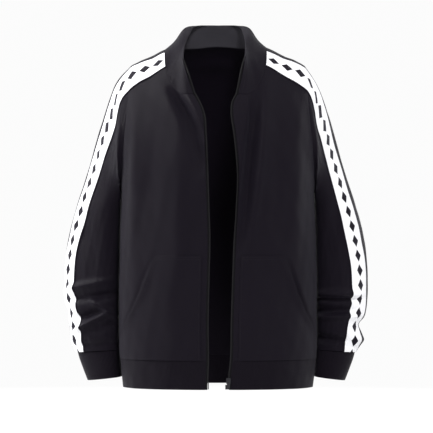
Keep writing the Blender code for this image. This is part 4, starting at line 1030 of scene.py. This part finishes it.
@lru_cache
def cuff_cloth(side):
    """A cuff, from the sleeve's seam to its folded edge."""
    place = between(eased(CUFF_DOWN, SEAM_ROLL, HEM_ROLL), 0, len(CUFF_BAND) - 1)
    return Cloth(*cuff(side, np.arange(CUFF_AROUND) / CUFF_AROUND, place), closed=True)


def collar_seam():
    """Rows of the fronts and columns of the back along the neck seam."""
    front_t = between(eased(NECK_FRONT, HEM_ROLL), NECK_T, 1)
    return front_t, np.linspace(neck_column(-1), neck_column(1), NECK_BACK + 1)


@lru_cache
def collar_cloth():
    """The collar, from the neck seam to its folded edge."""
    return Cloth(*collar(*collar_seam(), eased(COLLAR_UP, SEAM_ROLL, HEM_ROLL)))


@lru_cache
def band_cloth(side):
    """The band from the neck over the shoulder and down the sleeve, on both of their surfaces. The
    bend where it crosses the armhole is smoothed by averaging each row with its neighbours."""
    around = mirrored(SLEEVE_AROUND, side)
    inside = (around > BAND_TOP_U - SLACK) & (around < BAND_LOW_U + SLACK)
    along = eased(BAND_SHOULDER, HEM_ROLL)
    shoulder = on_torso(*front_panel(side, along[:, None], rows_at(around[inside])))
    arm = sleeve_cloth(side)
    points, normal = (
        np.concatenate([near, far[1:, inside]])
        for near, far in zip(shoulder, (arm.points, arm.normal))
    )
    middle = len(along)
    for _ in range(BAND_SMOOTHING):
        for grid in (points, normal):
            part = grid[middle - BAND_BEND:middle + BAND_BEND]
            part[1:-1] = (part[:-2] + 2 * part[1:-1] + part[2:]) / 4
    return Cloth(points, unit(normal))


@lru_cache
def pocket_cloth(side):
    """A patch on the front, from beside the zip to its slanting mouth, which gapes a little."""
    v = mirrored(eased(POCKET_ACROSS, HEM_ROLL, HEM_ROLL), side)
    t = eased(POCKET_UP, SEAM_ROLL, HEM_ROLL) * POCKET_T
    place = front_panel(side, between(v, TAPE_U, mouth_share(t)), t[:, None])
    cloth = Cloth(*on_torso(*place), torso_grain(*place))
    away = cloth.distances()["end" if side > 0 else "start"]
    gape = MOUTH_GAPE[side] * mouth_run(t) ** 2
    return cloth.lifted(gape * np.exp(-(away / MOUTH_SPREAD) ** 2))


@lru_cache
def tape_cloth(side):
    """The zip tape's outer face, from under the cloth to its free edge, hem to collar."""
    points, normal = tape_path(side)
    out = unit(points[:, 1] - points[:, 0])
    across = TAPE_COLUMNS[None, :, None]
    under, beyond = np.minimum(across, 1), np.maximum(across - 1, 0)
    face = between(under, points[:, :1], points[:, 1:]) + out[:, None] * TAPE_OUT * beyond
    return Cloth(face, unit(between(under, normal[:, :1], normal[:, 1:]))).lifted(-CLOTH - TAPE_GAP)


# ---------------------------------------------------------------- meshes

def add_piece(name, points, faces, material, grain=None):
    """Adds a smooth mesh object; grain holds the cloth's coordinates for each corner of each face."""
    mesh = bpy.data.meshes.new(name)
    mesh.from_pydata(points.tolist(), [], faces.tolist())
    mesh.materials.append(material)
    if grain is not None:
        mesh.uv_layers.new(name="cloth").data.foreach_set("uv", grain.ravel())
    mesh.shade_smooth()
    obj = bpy.data.objects.new(name, mesh)
    bpy.context.scene.collection.objects.link(obj)
    return obj


def quad_grid(rows, columns, closed):
    """Corner numbers of a grid's faces, rows upwards and columns across."""
    row = np.arange(rows - 1)[:, None]
    col = np.arange(columns if closed else columns - 1)[None, :]
    corners = [(row, col), (row, col + 1), (row + 1, col + 1), (row + 1, col)]
    vertex = [r * columns + c % columns for r, c in corners]
    uv_columns = columns + 1 if closed else columns
    uv = [r * uv_columns + c for r, c in corners]
    return [np.stack(np.broadcast_arrays(*k), axis=-1).reshape(-1, 4) for k in (vertex, uv)]


def rim_faces(rows, columns, closed, back):
    """Faces that join the outer grid's free edges to the inner grid's."""
    along = np.arange(columns if closed else columns - 1)
    ahead = (along + 1) % columns
    top = (rows - 1) * columns
    edges = [(ahead, along), (top + along, top + ahead)]
    if not closed:
        up = np.arange(rows - 1) * columns
        last = columns - 1
        edges += [(up, up + columns), (up + columns + last, up + last)]
    return np.concatenate([np.stack([a, b, back + b, back + a], axis=-1) for a, b in edges])


def shell(name, cloth, material, depth=CLOTH, lift=0.0, rolls=None):
    """A closed shell: the cloth's surface moved out by lift, and again in by depth. Near each edge in
    rolls, both faces close in on the middle on a quarter circle of that radius."""
    drop = np.zeros(cloth.points.shape[:2])
    away = cloth.distances()
    for edge, radius in (rolls or {}).items():
        share = np.clip(1 - away[edge] / radius, 0, 1)
        drop = np.maximum(drop, 1 - np.sqrt(1 - share ** 2))
    drop *= ROLL_SHARE * depth
    outer, inner = cloth.lifted(lift - drop).points, cloth.lifted(lift - depth + drop).points
    rows, columns = outer.shape[:2]
    faces, corners = quad_grid(rows, columns, cloth.closed)
    back = rows * columns
    rims = rim_faces(rows, columns, cloth.closed, back)
    points = np.concatenate([outer.reshape(-1, 3), inner.reshape(-1, 3)])
    every = np.concatenate([faces, back + faces[:, ::-1], rims])
    uv = cloth.grain.reshape(-1, 2)
    uv = np.concatenate([uv[corners], uv[corners[:, ::-1]], uv_of_rims(rims, cloth)])
    if signed_volume(points, every) < 0:
        every, uv = every[:, ::-1], uv[:, ::-1]
    return add_piece(name, points, every, material, np.ascontiguousarray(uv))


def uv_of_rims(rims, cloth):
    """The rims take the cloth's coordinates of the outer face's edge."""
    rows, columns = cloth.points.shape[:2]
    row, col = np.divmod(rims % (rows * columns), columns)
    return cloth.grain[row, col]


def signed_volume(points, faces):
    """Six times the volume that the faces enclose: the sum of a.(b x c) over their triangles."""
    a, b, c, d = (points[faces[:, k]] for k in range(4))
    return np.einsum("ij,ij->", a, np.cross(b, c) + np.cross(c, d))


def frames_along(line, pitch, first, last):
    """Evenly spaced places on a line of (points, normals): each with its own axes, which run along
    the line, sideways on the cloth, and out of it."""
    points, normal = line
    along = lengths_along(points)
    at = np.arange(first, along[-1] - last, pitch)
    ahead, behind = (at_lengths(points, along, at + step) for step in (pitch / 4, -pitch / 4))
    run = unit(ahead - behind)
    side = unit(np.cross(at_lengths(normal, along, at), run))
    return at_lengths(points, along, at), np.stack([run, side, np.cross(run, side)], axis=1)


# ---------------------------------------------------------------- finishes

class Wire:
    """A number that varies over a surface; arithmetic on it adds Math nodes."""

    def __init__(self, finish, socket):
        self.finish, self.socket = finish, socket

    def math(self, operation, *others, clamp=False):
        """This number and the others put through a Math node."""
        values = dict(enumerate((self, *others)))
        settings = {"operation": operation, "use_clamp": clamp}
        return self.finish.wire("ShaderNodeMath", settings, values)

    def __add__(self, other):
        return self.math("ADD", other)

    def __sub__(self, other):
        return self.math("SUBTRACT", other)

    def __rsub__(self, other):
        return self * -1 + other

    def __mul__(self, other):
        return self.math("MULTIPLY", other)

    def __truediv__(self, other):
        return self.math("DIVIDE", other)

    __radd__, __rmul__ = __add__, __mul__

    def part(self):
        """What is left above the whole number below."""
        return self.math("FRACT")

    def wave(self):
        """A wave from 0 to 1, once for each whole number."""
        return (self * (2 * math.pi)).math("COSINE") * -0.5 + 0.5

    def hump(self):
        """A round hump from 0 to 1 and back over each whole number."""
        return (self.part() * math.pi).math("SINE")


class Finish:
    """A material being made: its node tree and the shader at the end of it."""

    def __init__(self, name, colour, roughness, **constants):
        self.material = bpy.data.materials.new(name)
        self.material.use_nodes = True
        self.tree = self.material.node_tree
        self.shader = self.tree.nodes["Principled BSDF"]
        self.colour = (*colour, 1.0)
        self.shader.inputs["Base Color"].default_value = self.colour
        self.shader.inputs["Roughness"].default_value = roughness
        self.roughness = roughness
        for socket, value in constants.items():
            self.shader.inputs[socket.replace("_", " ")].default_value = value
        self.material.diffuse_color = self.colour

    def node(self, kind, settings=None, values=None):
        """Adds a node: its settings first, then the values or links of its sockets."""
        node = self.tree.nodes.new(kind)
        for key, value in (settings or {}).items():
            setattr(node, key, value)
        for key, value in (values or {}).items():
            if isinstance(value, Wire):
                value = value.socket
            if isinstance(value, bpy.types.NodeSocket):
                self.tree.links.new(value, node.inputs[key])
            else:
                node.inputs[key].default_value = value
        return node

    def wire(self, kind, settings=None, values=None, output=0):
        """Adds a node, and returns one of its outputs as a number to reckon with."""
        return Wire(self, self.node(kind, settings, values).outputs[output])

    def cloth_place(self):
        """The cloth's own coordinates in metres, across and along the knit."""
        place = self.node("ShaderNodeUVMap", {"uv_map": "cloth"})
        parts = self.node("ShaderNodeSeparateXYZ", None, {0: place.outputs[0]})
        return Wire(self, parts.outputs["X"]), Wire(self, parts.outputs["Y"])

    def noise(self, scale, detail=2.0):
        """Noise from 0 to 1 in the object's coordinates, scale features to a metre."""
        place = self.node("ShaderNodeTexCoord").outputs["Object"]
        values = {"Vector": place, "Scale": scale, "Detail": detail}
        return self.wire("ShaderNodeTexNoise", None, values)

    def tint(self, amount, shade):
        """Mixes a second shade into the base colour, by an amount from 0 to 1."""
        mix = self.node("ShaderNodeMix", {"data_type": "RGBA"}, {0: amount})
        first, second = (socket for socket in mix.inputs if socket.type == "RGBA")
        first.default_value, second.default_value = self.colour, (*shade, 1.0)
        result, = (socket for socket in mix.outputs if socket.type == "RGBA")
        self.tree.links.new(result, self.shader.inputs["Base Color"])

    def rough(self, amount, spread_by):
        """Roughness that varies by an amount from 0 to 1."""
        value = (amount - 0.5) * spread_by + self.roughness
        self.tree.links.new(value.socket, self.shader.inputs["Roughness"])

    def relief(self, height, depth):
        """Bump from a height of 0 to 1, depth metres deep."""
        bump = self.node("ShaderNodeBump", None, {"Height": height, "Distance": depth})
        self.tree.links.new(bump.outputs[0], self.shader.inputs["Normal"])


def shade_of(colour, share):
    """The colour with its brightness times a share."""
    return tuple(value * share for value in colour)


def stitch_relief(across, along, wale, course):
    """Rows of V-shaped stitches: each wale has two legs, humps that slant up towards its middle."""
    place = across / wale
    leg = (place * 2).hump()
    slant = ((place.part() - 0.5).math("ABSOLUTE") * 2 - 0.5) * LEG_SLANT
    return leg * (1 - RIPPLE) + (along / course + slant).wave() * leg * RIPPLE


def lozenges(across, along):
    """1 in a row of lozenges down the middle of the band and on its piped edges, otherwise 0."""
    off = (across - BAND_MIDDLE).math("ABSOLUTE")
    beyond = ((along / LOZENGE.pitch).part() - 0.5).math("ABSOLUTE") * LOZENGE.pitch
    inside = 1 - (off / LOZENGE.half_width + beyond / LOZENGE.half_length)
    piping = (off - (BAND_MIDDLE - PIPING)) / LOZENGE.half_width
    sharp = inside.math("MAXIMUM", piping) * (LOZENGE.half_width / LOZENGE.softness)
    return sharp.math("ADD", 0, clamp=True)


def knit(name, slot):
    """A knit's finish: its stitches as relief, with soft changes of shade and gloss. The rib has
    upright ridges as well, and the band a row of lozenges in the colour of the panels."""
    s, look = user_settings(), KNITS[slot]
    colour = getattr(s, look.colour)[:]
    finish = Finish(name, colour, look.roughness, Sheen_Weight=look.sheen, Sheen_Roughness=0.45,
                    Sheen_Tint=(*SHEEN_TINT, 1.0), Specular_IOR_Level=CLOTH_SHINE)
    across, along = finish.cloth_place()
    height, depth = stitch_relief(across, along, s.wale, s.course), KNIT_DEPTH
    if slot == "rib_knit":
        depth += RIB_DEPTH
        ridges = (across / s.rib_pitch).wave()
        height = height * (KNIT_DEPTH / depth) + ridges * (RIB_DEPTH / depth)
    finish.relief(height, depth)
    cloudy = finish.noise(CLOUDS, detail=4.0)
    fibres = finish.noise(FIBRES)
    if slot == "band_knit":
        finish.tint(lozenges(across, along), s.knit_colour[:])
    else:
        finish.tint(cloudy * 0.5 + fibres * 0.5, shade_of(colour, share=0.70))
    finish.rough(fibres, spread_by=0.14)
    return finish.material


def woven_tape(name, colour):
    """A fine herringbone: ridges across the tape that turn back along every rib of it."""
    finish = Finish(name, colour, roughness=0.72, Specular_IOR_Level=CLOTH_SHINE)
    across, along = finish.cloth_place()
    fold = ((across / HERRINGBONE).part() - 0.5).math("ABSOLUTE")
    finish.relief((along / TWILL + fold * 2).wave(), depth=0.00015)
    finish.tint(finish.noise(scale=700.0), shade_of(colour, share=0.6))
    return finish.material


def thread(name, colour):
    """Twisted thread or moulded teeth: a fine uneven surface with a faint gloss."""
    finish = Finish(name, colour, roughness=0.55, Specular_IOR_Level=0.20)
    finish.relief(finish.noise(scale=2600.0, detail=1.0), depth=0.0001)
    finish.tint(finish.noise(scale=300.0), shade_of(colour, share=0.8))
    return finish.material


def zip_metal(name, colour):
    """Dark plated metal with faint wear and a brushed unevenness."""
    finish = Finish(name, colour, roughness=0.34, Metallic=0.9)
    finish.relief(finish.noise(scale=1800.0, detail=3.0), depth=0.00003)
    finish.tint(finish.noise(scale=240.0, detail=3.0), shade_of(colour, share=2.1))
    finish.rough(finish.noise(scale=500.0), spread_by=0.20)
    return finish.material


# ---------------------------------------------------------------- what a user would change

def colour_property(name, description, default):
    """A colour that the user can pick."""
    return FloatVectorProperty(name=name, description=description, default=default, size=3,
                               min=0.0, max=1.0, subtype="COLOR")


def length_property(name, description, default, largest=10.0):
    """A length in metres."""
    return FloatProperty(name=name, description=description, default=default, min=0.0, max=largest,
                         unit="LENGTH", precision=4)


def power_property(name, description, default):
    """A light's power in watts."""
    return FloatProperty(name=name, description=description, default=default, min=0.0, unit="POWER")


class JacketFinish(bpy.types.PropertyGroup):
    """Colours and pitches of the jacket's cloth, thread and zip."""
    knit_colour: colour_property("Knit", "Colour of the panels, sleeves and collar",
                                 (0.0046, 0.0031, 0.0065))
    rib_colour: colour_property("Rib", "Colour of the hem band and cuffs", (0.0033, 0.0019, 0.0047))
    # The collar's inner face: the knit made about nine times lighter, as painted light for the light
    # that falls into the collar.
    lining_colour: colour_property("Collar lining", "Colour of the collar's inner face",
                                   (0.042, 0.040, 0.048))
    band_colour: colour_property("Band", "Colour of the sleeve bands", (0.74, 0.74, 0.76))
    tape_colour: colour_property("Tape", "Colour of the zip tape", (0.006, 0.0055, 0.007))
    metal_colour: colour_property("Metal", "Colour of the zip's metal", (0.018, 0.0175, 0.020))
    wale: length_property("Wale", "Width of one column of knit stitches", 0.0012, 0.01)
    course: length_property("Course", "Height of one row of knit stitches", 0.0010, 0.01)
    rib_pitch: length_property("Rib pitch", "From one rib to the next", 0.0026, 0.02)
    stitch_pitch: length_property("Stitch pitch", "From one sewn stitch to the next", 0.0030, 0.02)
    stitch_length: length_property("Stitch length", "Length of a sewn stitch that shows", 0.0023, 0.02)
    thread_radius: length_property("Thread", "Radius of the sewing thread", 0.00022, 0.002)
    tooth_pitch: length_property("Tooth pitch", "From one zip tooth to the next", 0.0022, 0.02)


class JacketStage(bpy.types.PropertyGroup):
    """The camera, the lights and the floor."""
    view_distance: length_property("Distance", "From the camera to the jacket's middle", 6.0, 50.0)
    view_width: length_property("Width", "Width of the view at the jacket's middle", 0.866)
    view_height: length_property("Height", "How far the camera lies below the origin", 0.325)
    floor_depth: length_property("Floor", "How far the floor lies below the origin", 0.79)
    key_power: power_property("Key light", "Power of the light from the upper left", 75.0)
    fill_power: power_property("Fill light", "Power of the high light in front", 100.0)
    side_power: power_property("Side light", "Power of the light from the left, behind", 290.0)
    rim_power: power_property("Rim light", "Power of the light from the right, behind", 10.0)
    world_light: FloatProperty(name="Surroundings", default=0.97, min=0.0,
                               description="Brightness of the pale surroundings")


# ---------------------------------------------------------------- pieces

def user_settings():
    """The user's colours and pitches."""
    return bpy.context.scene.jacket_finish


def finish_of(slot):
    """The material of a slot, made when it is first asked for."""
    name = "finish_" + slot
    made = bpy.data.materials.get(name)
    if made:
        return made
    if slot in KNITS:
        return knit(name, slot)
    if slot == "zip_tape":
        return woven_tape(name, user_settings().tape_colour[:])
    return zip_metal(name, user_settings().metal_colour[:])


def dressed(piece, slot, *nodes):
    """Says what a piece rides on and hides the nodes that it stands for; the slot is not used."""
    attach(piece, "jacket")
    if nodes:
        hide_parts(*nodes)
    return piece


def make_cloth(node, cloth, slot, rests_on, held="hung", **how):
    """Makes a node's cloth as a shell."""
    piece = dressed(shell(node + "_cloth", cloth, finish_of(slot), **how), slot, node)
    return piece


def rolled(radius, **others):
    """The radius of each edge's roll, with the edges that differ named."""
    return dict.fromkeys(("bottom", "top", "start", "end"), radius) | others


def zip_side(side):
    """Which end of a row of points lies at the zip."""
    return "end" if side < 0 else "start"


def prism_faces(rings):
    """Faces of a stack of rings of four points, with both ends closed."""
    faces = [
        (4 * r + k, 4 * r + (k + 1) % 4, 4 * r + 4 + (k + 1) % 4, 4 * r + 4 + k)
        for r in range(rings - 1) for k in range(4)
    ]
    last = 4 * (rings - 1)
    return np.array(faces + [(3, 2, 1, 0), (last, last + 1, last + 2, last + 3)])


def add_repeats(name, template, places, slot, material):
    """One mesh of many copies of a small stack of rings, each at its own origin and on its axes."""
    template = np.array(template)
    faces = prism_faces(len(template) // 4)
    origin, axes = (np.concatenate(parts) for parts in zip(*places))
    points = origin[:, None, :] + np.einsum("vk,nkx->nvx", template, axes)
    step = np.arange(len(origin))[:, None, None] * len(template)
    every = (faces[None] + step).reshape(-1, 4)
    return dressed(add_piece(name, points.reshape(-1, 3), every, material), slot)


def make_stitches(name, lines, slot, material):
    """Sewn stitches along lines of cloth: small bars with pointed ends, half sunk into it."""
    s = user_settings()
    template = [
        (at * s.stitch_length, sideways * wide * s.thread_radius, up * wide * s.thread_radius)
        for at, wide in STITCH_RINGS
        for sideways, up in ((1, 0), (0, 1), (-1, 0), (0, -1))
    ]
    pitch = s.stitch_pitch
    places = [frames_along(line, pitch, first=pitch, last=pitch) for line in lines]
    add_repeats(name, template, places, slot, material)


def make_teeth(side, end, finish):
    """Moulded teeth along the tape's free edge, in the middle of its thickness: each a bar that
    runs out past the edge, waisted beside a round head."""
    pitch, tape = user_settings().tooth_pitch, tape_cloth(side)
    line = tape.points[:, -1] - tape.normal[:, -1] * TAPE / 2
    out = unit(tape.points[:, -1] - tape.points[:, -2])
    template = [
        (along * wide * pitch, across * thick, reach)
        for reach, wide, thick in TOOTH_SECTIONS
        for along, across in ((1, 1), (-1, 1), (-1, -1), (1, -1))
    ]
    places = [frames_along((line, out), pitch, first=TEETH_FROM[end], last=TEETH_STOP)]
    add_repeats("teeth_" + end, template, places, "zip_metal", finish)


# ---------------------------------------------------------------- operators

class JacketOperator(bpy.types.Operator):
    """What the operators share: each of them can be undone"""
    bl_options = {"REGISTER", "UNDO"}


class JACKET_OT_fronts(JacketOperator):
    """Makes the two front panels"""
    bl_idname = "jacket.fronts"
    bl_label = "Fronts"

    def execute(self, context):
        for side, end in SIDES:
            make_cloth("front_" + end, front_cloth(side), "shell_knit", ["collar"],
                       rolls=rolled(SEAM_ROLL, **{zip_side(side): HEM_ROLL}))
        return {"FINISHED"}


class JACKET_OT_back(JacketOperator):
    """Makes the back panel"""
    bl_idname = "jacket.back"
    bl_label = "Back"

    def execute(self, context):
        make_cloth("back", back_cloth(), "shell_knit", ["collar"], rolls=rolled(SEAM_ROLL))
        return {"FINISHED"}


class JACKET_OT_hem_band(JacketOperator):
    """Makes the ribbed band round the hem"""
    bl_idname = "jacket.hem_band"
    bl_label = "Hem band"

    def execute(self, context):
        make_cloth("hem_band", hem_cloth(), "rib_knit", ["back"],
                   rolls=rolled(HEM_ROLL, top=SEAM_ROLL))
        return {"FINISHED"}


class JACKET_OT_sleeves(JacketOperator):
    """Makes the sleeves and their cuffs"""
    bl_idname = "jacket.sleeves"
    bl_label = "Sleeves and cuffs"

    def execute(self, context):
        for side, end in SIDES:
            sleeve_node = "sleeve_" + end
            make_cloth(sleeve_node, sleeve_cloth(side), "shell_knit", ["back"],
                       rolls={"bottom": SEAM_ROLL, "top": SEAM_ROLL})
            make_cloth("cuff_" + end, cuff_cloth(side), "rib_knit", [sleeve_node],
                       rolls={"bottom": SEAM_ROLL, "top": HEM_ROLL})
        return {"FINISHED"}


class JACKET_OT_collar(JacketOperator):
    """Makes the stand collar, with a much lighter finish on the inner face as painted light"""
    bl_idname = "jacket.collar"
    bl_label = "Collar"

    def execute(self, context):
        cloth = collar_cloth()
        piece = make_cloth("collar", cloth, "shell_knit", ["back"],
                           rolls=rolled(HEM_ROLL, bottom=SEAM_ROLL))
        # The inner face takes the much lighter knit: painted light on the inside of the collar.
        piece.data.materials.append(finish_of("collar_lining"))
        rows, columns = cloth.points.shape[:2]
        outer = (rows - 1) * (columns - 1)
        index = np.zeros(len(piece.data.polygons), int)
        index[outer:2 * outer] = 1
        piece.data.polygons.foreach_set("material_index", index)
        return {"FINISHED"}


class JACKET_OT_bands(JacketOperator):
    """Makes the band down each sleeve, with twin stitching along its edges"""
    bl_idname = "jacket.bands"
    bl_label = "Sleeve bands"

    def execute(self, context):
        white = thread("white_thread", WHITE_THREAD)
        for side, end in SIDES:
            cloth = band_cloth(side)
            make_cloth("sleeve_band_" + end, cloth, "band_knit", ["sleeve_" + end], "laid",
                       depth=TRIM, lift=TRIM_LIFT, rolls=rolled(TRIM_ROLL))
            top = cloth.lifted(TRIM_LIFT)
            lines = [top.line(edge, inset) for edge in ("start", "end") for inset in TWIN_INSETS]
            make_stitches("band_stitches_" + end, lines, "band_knit", white)
        return {"FINISHED"}


class JACKET_OT_pockets(JacketOperator):
    """Makes the patch pockets with their slanting mouths"""
    bl_idname = "jacket.pockets"
    bl_label = "Pockets"

    def execute(self, context):
        for side, end in SIDES:
            make_cloth("pocket_" + end, pocket_cloth(side), "shell_knit", ["front_" + end], "laid",
                       depth=TRIM, lift=TRIM_LIFT, rolls=rolled(TRIM_ROLL))
        return {"FINISHED"}


class JACKET_OT_zip(JacketOperator):
    """Makes the zip's tapes and teeth, and gives its slider, pull tab and stops their finish"""
    bl_idname = "jacket.zip"
    bl_label = "Zip"

    def execute(self, context):
        teeth = thread("black_teeth", BLACK_TEETH)
        for side, end in SIDES:
            make_cloth("zip_tape_" + end, tape_cloth(side), "zip_tape", ["front_" + end], "laid",
                       depth=TAPE)
            make_teeth(side, end, teeth)
        for node in ("slider", "pull_tab", "zip_box", "zip_pin"):
            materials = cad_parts[node].data.materials
            materials.clear()
            materials.append(finish_of("zip_metal"))
        return {"FINISHED"}


class JACKET_OT_stitching(JacketOperator):
    """Makes the seams' stitching in black thread"""
    bl_idname = "jacket.stitching"
    bl_label = "Stitching"

    def execute(self, context):
        lines = []
        for side, _ in SIDES:
            front, pocket = front_cloth(side), pocket_cloth(side).lifted(TRIM_LIFT)
            lines += [front.line(zip_side(side), ZIP_STITCH), front.line("bottom", EDGE_STITCH)]
            lines += [pocket.line(edge, inset) for edge in ("top", zip_side(-side))
                      for inset in (EDGE_STITCH, POCKET_STITCH)]
            lines += [pocket.line(zip_side(side), EDGE_STITCH)]
        lines += [cloth.line("bottom", EDGE_STITCH) for cloth in (back_cloth(), collar_cloth())]
        lines += [collar_cloth().line(edge, ZIP_STITCH) for edge in ("start", "end")]
        make_stitches("seam_stitches", lines, "shell_knit", thread("black_thread", BLACK_THREAD))
        return {"FINISHED"}


class JACKET_OT_stage(JacketOperator):
    """Makes the camera, the soft studio lights, the pale surroundings and the floor"""
    bl_idname = "jacket.stage"
    bl_label = "Stage"

    def execute(self, context):
        s = context.scene.jacket_stage
        context.scene.view_settings.view_transform = "Standard"
        middle = Vector((VIEW_MIDDLE_X, 0.0, -s.view_height))
        camera = bpy.data.objects.new("camera", bpy.data.cameras.new("camera"))
        context.scene.collection.objects.link(camera)
        camera.location = middle - Vector((0.0, s.view_distance, 0.0))
        camera.rotation_euler = (math.pi / 2, 0.0, 0.0)
        camera.data.lens = camera.data.sensor_width * s.view_distance / s.view_width
        camera.data.clip_end = VIEW_DEPTH
        context.scene.camera = camera
        for light in LIGHTS:
            add_light(light, middle, getattr(s, light.name + "_power"))
        world = bpy.data.worlds.new("surroundings")
        context.scene.world = world
        world.use_nodes = True
        background = world.node_tree.nodes["Background"]
        background.inputs["Color"].default_value = (1.0, 1.0, 1.0, 1.0)
        background.inputs["Strength"].default_value = s.world_light
        make_floor(-s.floor_depth)
        return {"FINISHED"}


def add_light(light, target, power):
    """Adds a round soft light that looks at the target."""
    data = bpy.data.lights.new(light.name, "AREA")
    data.shape, data.size, data.energy = "DISK", light.size, power
    lamp = bpy.data.objects.new(light.name, data)
    lamp.location = target + Vector(light.place)
    lamp.rotation_mode = "QUATERNION"
    lamp.rotation_quaternion = (-Vector(light.place)).to_track_quat("-Z", "Y")
    bpy.context.scene.collection.objects.link(lamp)


def make_floor(height):
    """A round pale floor: a circle of points joined to its middle, which fades out to its edge."""
    turn = np.linspace(0, 2 * math.pi, FLOOR_SIDES + 1)[:-1]
    rim = np.stack([np.cos(turn), np.sin(turn), 0 * turn], axis=-1) * FLOOR_RADIUS
    points = np.concatenate([[[0, 0, 0]], rim]) + [0, 0, height]
    faces = np.array([(0, 1 + k, 1 + (k + 1) % FLOOR_SIDES) for k in range(FLOOR_SIDES)])
    finish = Finish("floor", (FLOOR_GREY,) * 3, roughness=0.8)
    floor = add_piece("floor", points, faces, finish.material)
    floor.data.shade_flat()
    place = finish.node("ShaderNodeTexCoord").outputs["Object"]
    away = finish.wire("ShaderNodeVectorMath", {"operation": "LENGTH"}, {0: place}, output=1)
    fade = (away - FLOOR_CLEAR).math("DIVIDE", FLOOR_RADIUS - FLOOR_CLEAR, clamp=True)
    clear = finish.node("ShaderNodeBsdfTransparent")
    shaders = {1: finish.shader.outputs[0], 2: clear.outputs[0]}
    mix = finish.node("ShaderNodeMixShader", None, {0: fade, **shaders})
    output = finish.tree.nodes["Material Output"]
    finish.tree.links.new(mix.outputs[0], output.inputs["Surface"])
    return floor


class JACKET_PT_panel(bpy.types.Panel):
    """The jacket's operators and settings in the sidebar"""
    bl_label = "Zip jacket"
    bl_idname = "JACKET_PT_panel"
    bl_space_type = "VIEW_3D"
    bl_region_type = "UI"
    bl_category = "Jacket"

    def draw(self, context):
        for group in (context.scene.jacket_finish, context.scene.jacket_stage):
            for name in group.__annotations__:
                self.layout.prop(group, name)
        for operator in OPERATORS:
            self.layout.operator(operator.bl_idname)


OPERATORS = (
    JACKET_OT_fronts, JACKET_OT_back, JACKET_OT_hem_band, JACKET_OT_sleeves, JACKET_OT_collar,
    JACKET_OT_bands, JACKET_OT_pockets, JACKET_OT_zip, JACKET_OT_stitching, JACKET_OT_stage,
)
GROUPS = (JacketFinish, JacketStage)


def register():
    """Registers the settings, the operators and the panel."""
    for cls in (*GROUPS, *OPERATORS, JACKET_PT_panel):
        bpy.utils.register_class(cls)
    bpy.types.Scene.jacket_finish = PointerProperty(type=JacketFinish)
    bpy.types.Scene.jacket_stage = PointerProperty(type=JacketStage)


def unregister():
    """Takes them out again."""
    del bpy.types.Scene.jacket_finish
    del bpy.types.Scene.jacket_stage
    for cls in (JACKET_PT_panel, *reversed(OPERATORS), *reversed(GROUPS)):
        bpy.utils.unregister_class(cls)


def main():
    """Makes every piece and the stage."""
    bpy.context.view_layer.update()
    register()
    for operator in OPERATORS:
        _, name = operator.bl_idname.split(".")
        getattr(bpy.ops.jacket, name)()


if __name__ == "__main__":
    main()
